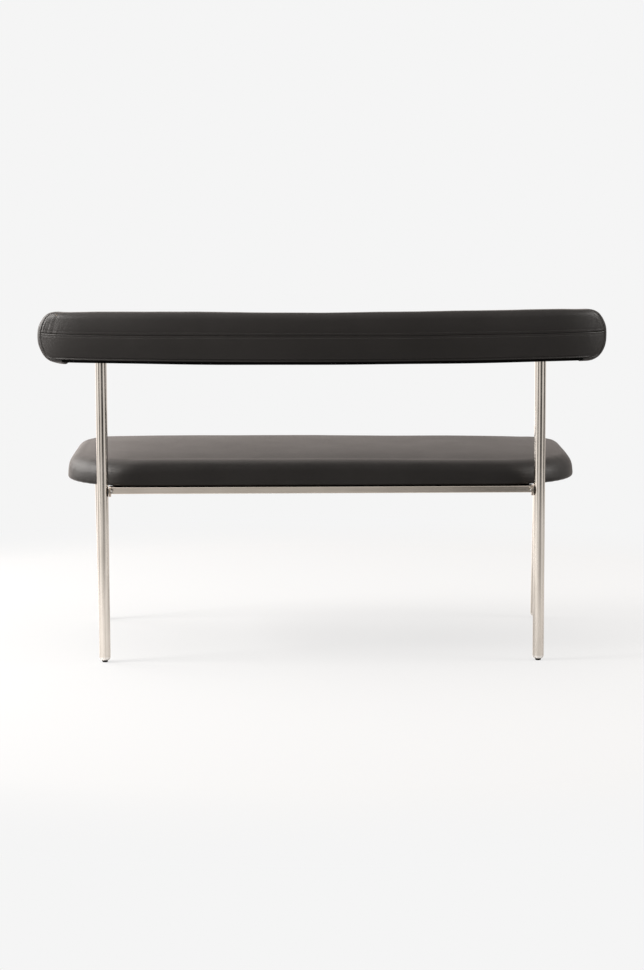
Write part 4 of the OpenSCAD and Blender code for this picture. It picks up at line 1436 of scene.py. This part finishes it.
def form_edge(flat: np.ndarray, outline: Outline, inset: float) -> np.ndarray:
    """Returns how far flat points lie inside the outline's straight sides, less inset."""
    u, v = np.abs(flat[..., 0]), np.abs(flat[..., 1])
    return np.minimum(outline.half_u - u, outline.half_v - v) - inset


# Frame


@dataclass
class Frame:
    """The chrome frame and its fittings: the CAD nodes, better dressed, with their weld beads."""

    finishes: Finishes
    bead_radius: float = 1.6 * MM
    bead_sides: int = 8
    front_rake: float = 9.0

    def build(self) -> list[bpy.types.Object]:
        """Dresses the CAD nodes and adds the welds."""
        slots = {row["node"]: row["material_slot"] for row in frame["record"]["subparts"]}
        for name, node in frame["nodes"].items():
            # by_node puts the darker rail and ear chrome (painted shade) and the lighter plug chrome (painted
            # highlight) on those nodes.
            self.finishes.wear(node, self.finishes.by_node.get(name, self.finishes.by_slot[slots[name]]))
        return [self.leg_welds(), self.rail_welds()]

    def leg_welds(self) -> bpy.types.Object:
        """Runs a bead round each front leg where it meets its plate."""
        points, faces = [], []
        for side in Side:
            low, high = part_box("front_leg_" + side.name.lower())
            radius = (high.x - low.x) / 2
            rake = math.radians(self.front_rake)
            middle = Vector(((low.x + high.x) / 2, high.y - radius / math.cos(rake), high.z))
            ring = []
            for turn in (2 * math.pi * k / 64 for k in range(64)):
                out = Vector((math.cos(turn), math.sin(turn), 0))
                place = middle + Vector((math.cos(turn) * radius, math.sin(turn) * radius / math.cos(rake), 0))
                ring.append((place, out, self.bead_radius * (1 + 0.10 * math.sin(9 * turn))))
            tube(points, faces, bead(ring, closed=True), self.bead_sides, closed=True)
        return self.welded("front_leg_welds", points, faces)

    def rail_welds(self) -> bpy.types.Object:
        """Runs beads where the side and centre rails butt against the cross rails."""
        points, faces = [], []
        for name in ("side_rail_left", "centre_rail", "side_rail_right"):
            low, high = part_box(name)
            for y, out in ((low.y, 1), (high.y, -1)):
                for x, lean in ((low.x, -1), (high.x, 1)):
                    path = [(Vector((x, y, low.z + (high.z - low.z) * (0.12 + 0.76 * k / 10))),
                             Vector((lean, out, 0)).normalized(),
                             self.bead_radius * (1 + 0.12 * math.sin(k * 2.4))) for k in range(11)]
                    tube(points, faces, bead(path, closed=False), self.bead_sides)
        return self.welded("rail_welds", points, faces)

    def welded(self, name: str, points: list, faces: list) -> bpy.types.Object:
        """Makes the beads one chrome piece."""
        return self.finishes.dress(mesh_piece(name, np.array(points), faces), "chrome")


def bead(path: list, closed: bool) -> list:
    """Shapes a weld bead along a path.

    Args:
        path: for each step its place, the outward direction and the bead's radius.
        closed: whether the path is a loop.

    Returns:
        The rings, as tube takes them.
    """
    count, rings = len(path), []
    for k, (place, out, radius) in enumerate(path):
        behind, ahead = path[(k - 1) % count][0], path[(k + 1) % count][0]
        along = (ahead - behind if closed or 0 < k < count - 1 else path[-1][0] - path[0][0]).normalized()
        rings.append((place, out, along.cross(out).normalized(), radius))
    return rings


# Studio


@dataclass
class Studio:
    """The camera, the floor and the soft light, with the room's dark lines that the chrome reflects."""

    eye: tuple = (0.0513, 6.2176, 1.229)
    look_down: float = 7.89
    look_aside: float = 0.507
    roll: float = -0.17
    lens: float = 101.245
    backdrop: float = 0.913
    warmth: tuple = (1.0, 0.965, 0.935)
    ceiling: float = 0.45
    paint: float = 0.47
    floor_glow: float = 0.72
    floor_radius: float = 14.0
    dark_lines: tuple = ((-109, 0.0), (-106, 0.95), (-74, 0.95), (-71, 0.0), (-36, 0.0), (-33, 0.96), (-4, 0.96),
                         (-1, 0.0), (32, 0.0), (35, 0.88), (58, 0.88), (61, 0.0))
    walls: tuple = ((-180, 0.82), (-172, 0.96), (-158, 0.85), (-132, 0.50), (-112, 0.80), (-92, 0.65), (-62, 0.90),
                    (-46, 0.66), (-30, 0.46), (-12, 0.50), (0, 0.56), (22, 0.80), (30, 0.74), (42, 1.10),
                    (62, 1.25), (84, 1.05), (97, 0.60), (108, 0.95), (128, 0.7), (150, 2.1), (166, 2.2),
                    (174, 1.45), (180, 0.82))
    lamps_at: tuple = (("lamp_left", (2.85, 0.65, 2.0), 1.0, 150.0), ("lamp_right", (-2.85, 0.5, 1.8), 1.0, 52.0),
                       ("lamp_end", (2.2, -0.9, 1.25), 1.2, 40.0), ("lamp_above", (1.2, -0.4, 3.2), 2.0, 20.0))
    lamp_colour: tuple = (1.0, 0.97, 0.94)
    lamps_look_at: tuple = (0, 0, 0.6)

    def build(self) -> None:
        """Sets up everything round the sofa."""
        self.camera()
        self.world()
        self.floor()
        self.lamps()
        bpy.context.scene.view_settings.view_transform = "Standard"

    def camera(self) -> None:
        """Places the camera behind the sofa, where the photograph was taken."""
        data = bpy.data.cameras.new("camera")
        data.lens, data.sensor_width, data.sensor_fit = self.lens, 36.0, "AUTO"
        data.clip_start, data.clip_end = 0.1, 100.0
        camera = stood("camera", data)
        down, aside = math.radians(self.look_down), math.radians(self.look_aside)
        ahead = Vector((-math.sin(aside) * math.cos(down), -math.cos(aside) * math.cos(down), -math.sin(down)))
        camera.location = self.eye
        camera.rotation_mode = "QUATERNION"
        camera.rotation_quaternion = ahead.to_track_quat("-Z", "Y") @ Quaternion((0, 0, 1), math.radians(self.roll))
        bpy.context.scene.camera = camera

    def world(self) -> None:
        """Makes a pale room: even to the camera, brighter in front of the sofa and above for light."""
        world = bpy.data.worlds.new("studio")
        bpy.context.scene.world = world
        g = Graph(world, empty=True)
        way = g.add("ShaderNodeSeparateXYZ", Vector=g.add("ShaderNodeTexCoord").outputs["Generated"]).outputs
        turn = g.spread(g.math("ARCTAN2", way["X"], way["Y"]), -math.pi, math.pi)
        stops = []
        for azimuth, level in self.walls:
            beyond = min(1.0, max(0.0, (abs(azimuth) - 120) / 30))
            tint = (c * (1 - beyond * far) for c, far in zip(self.warmth, (0, 0.065, 0.095)))
            stops.append((azimuth, tuple(level * c for c in tint)))
        above = g.spread(way["Z"], 0.30, 0.95, 0.0, self.ceiling, "SMOOTHSTEP")
        total = g.both("ShaderNodeVectorMath", "ADD", g.ramp(turn, stops, "EASE"), g.scaled(self.warmth, above))
        dark = g.ramp(turn, [(azimuth, (depth,) * 3) for azimuth, depth in self.dark_lines])
        for start, end in ((-0.144, -0.138), (-0.065, -0.080)):
            dark = g.math("MULTIPLY", dark, g.spread(way["Z"], start, end))
        room = g.add("ShaderNodeBackground", Color=g.scaled(total, g.math("SUBTRACT", 1.0, dark)))
        seen = g.add("ShaderNodeBackground", Color=(1, 1, 1, 1), Strength=self.backdrop)
        camera = g.add("ShaderNodeLightPath").outputs["Is Camera Ray"]
        g.add("ShaderNodeOutputWorld", Surface=g.either(camera, room, seen).outputs[0])

    def floor(self) -> None:
        """Lays a pale floor whose colour runs out into the backdrop's far from the sofa."""
        floor = shaped("floor", bmesh.ops.create_circle, segments=96, radius=self.floor_radius)
        material = bpy.data.materials.new("floor_paint")
        g = Graph(material, empty=True)
        where = g.add("ShaderNodeTexCoord").outputs["Object"]
        length = g.add("ShaderNodeVectorMath", {"operation": "LENGTH"}, Vector=where).outputs["Value"]
        far = g.spread(length, 0.75, 1.9, 0.30, 1.0, "SMOOTHSTEP")
        paint = g.add("ShaderNodeBsdfDiffuse", Color=(self.paint, self.paint, self.paint, 1))
        glow = g.add("ShaderNodeEmission", Strength=self.backdrop)
        camera = g.add("ShaderNodeLightPath").outputs["Is Camera Ray"]
        beyond = g.either(camera, g.add("ShaderNodeBsdfTransparent"), glow)
        share = g.math("MAXIMUM", g.math("MULTIPLY", camera, self.floor_glow), far)
        g.add("ShaderNodeOutputMaterial", Surface=g.either(share, paint, beyond).outputs[0])
        floor.data.materials.append(material)

    def lamps(self) -> None:
        """Hangs the soft lamps: two behind the sofa's ends, one beside its end and one above."""
        for name, place, size, power in self.lamps_at:
            data = bpy.data.lights.new(name, "AREA")
            data.shape, data.size, data.energy, data.color = "SQUARE", size, power, self.lamp_colour
            lamp = stood(name, data)
            lamp.location = place
            lamp.rotation_mode = "QUATERNION"
            lamp.rotation_quaternion = (Vector(self.lamps_look_at) - Vector(place)).to_track_quat("-Z", "Y")


def main() -> None:
    """Builds the studio and the sofa, and logs how many points each piece has."""
    logging.basicConfig(level=logging.INFO, format="%(name)s: %(message)s")
    Studio().build()
    finishes = Finishes()
    pieces = Frame(finishes).build() + Seat(finishes).build() + Backrest(finishes).build()
    for piece in pieces:
        LOG.info("%s: %d points", piece.name, len(piece.data.vertices))


if __name__ == "__main__":
    main()
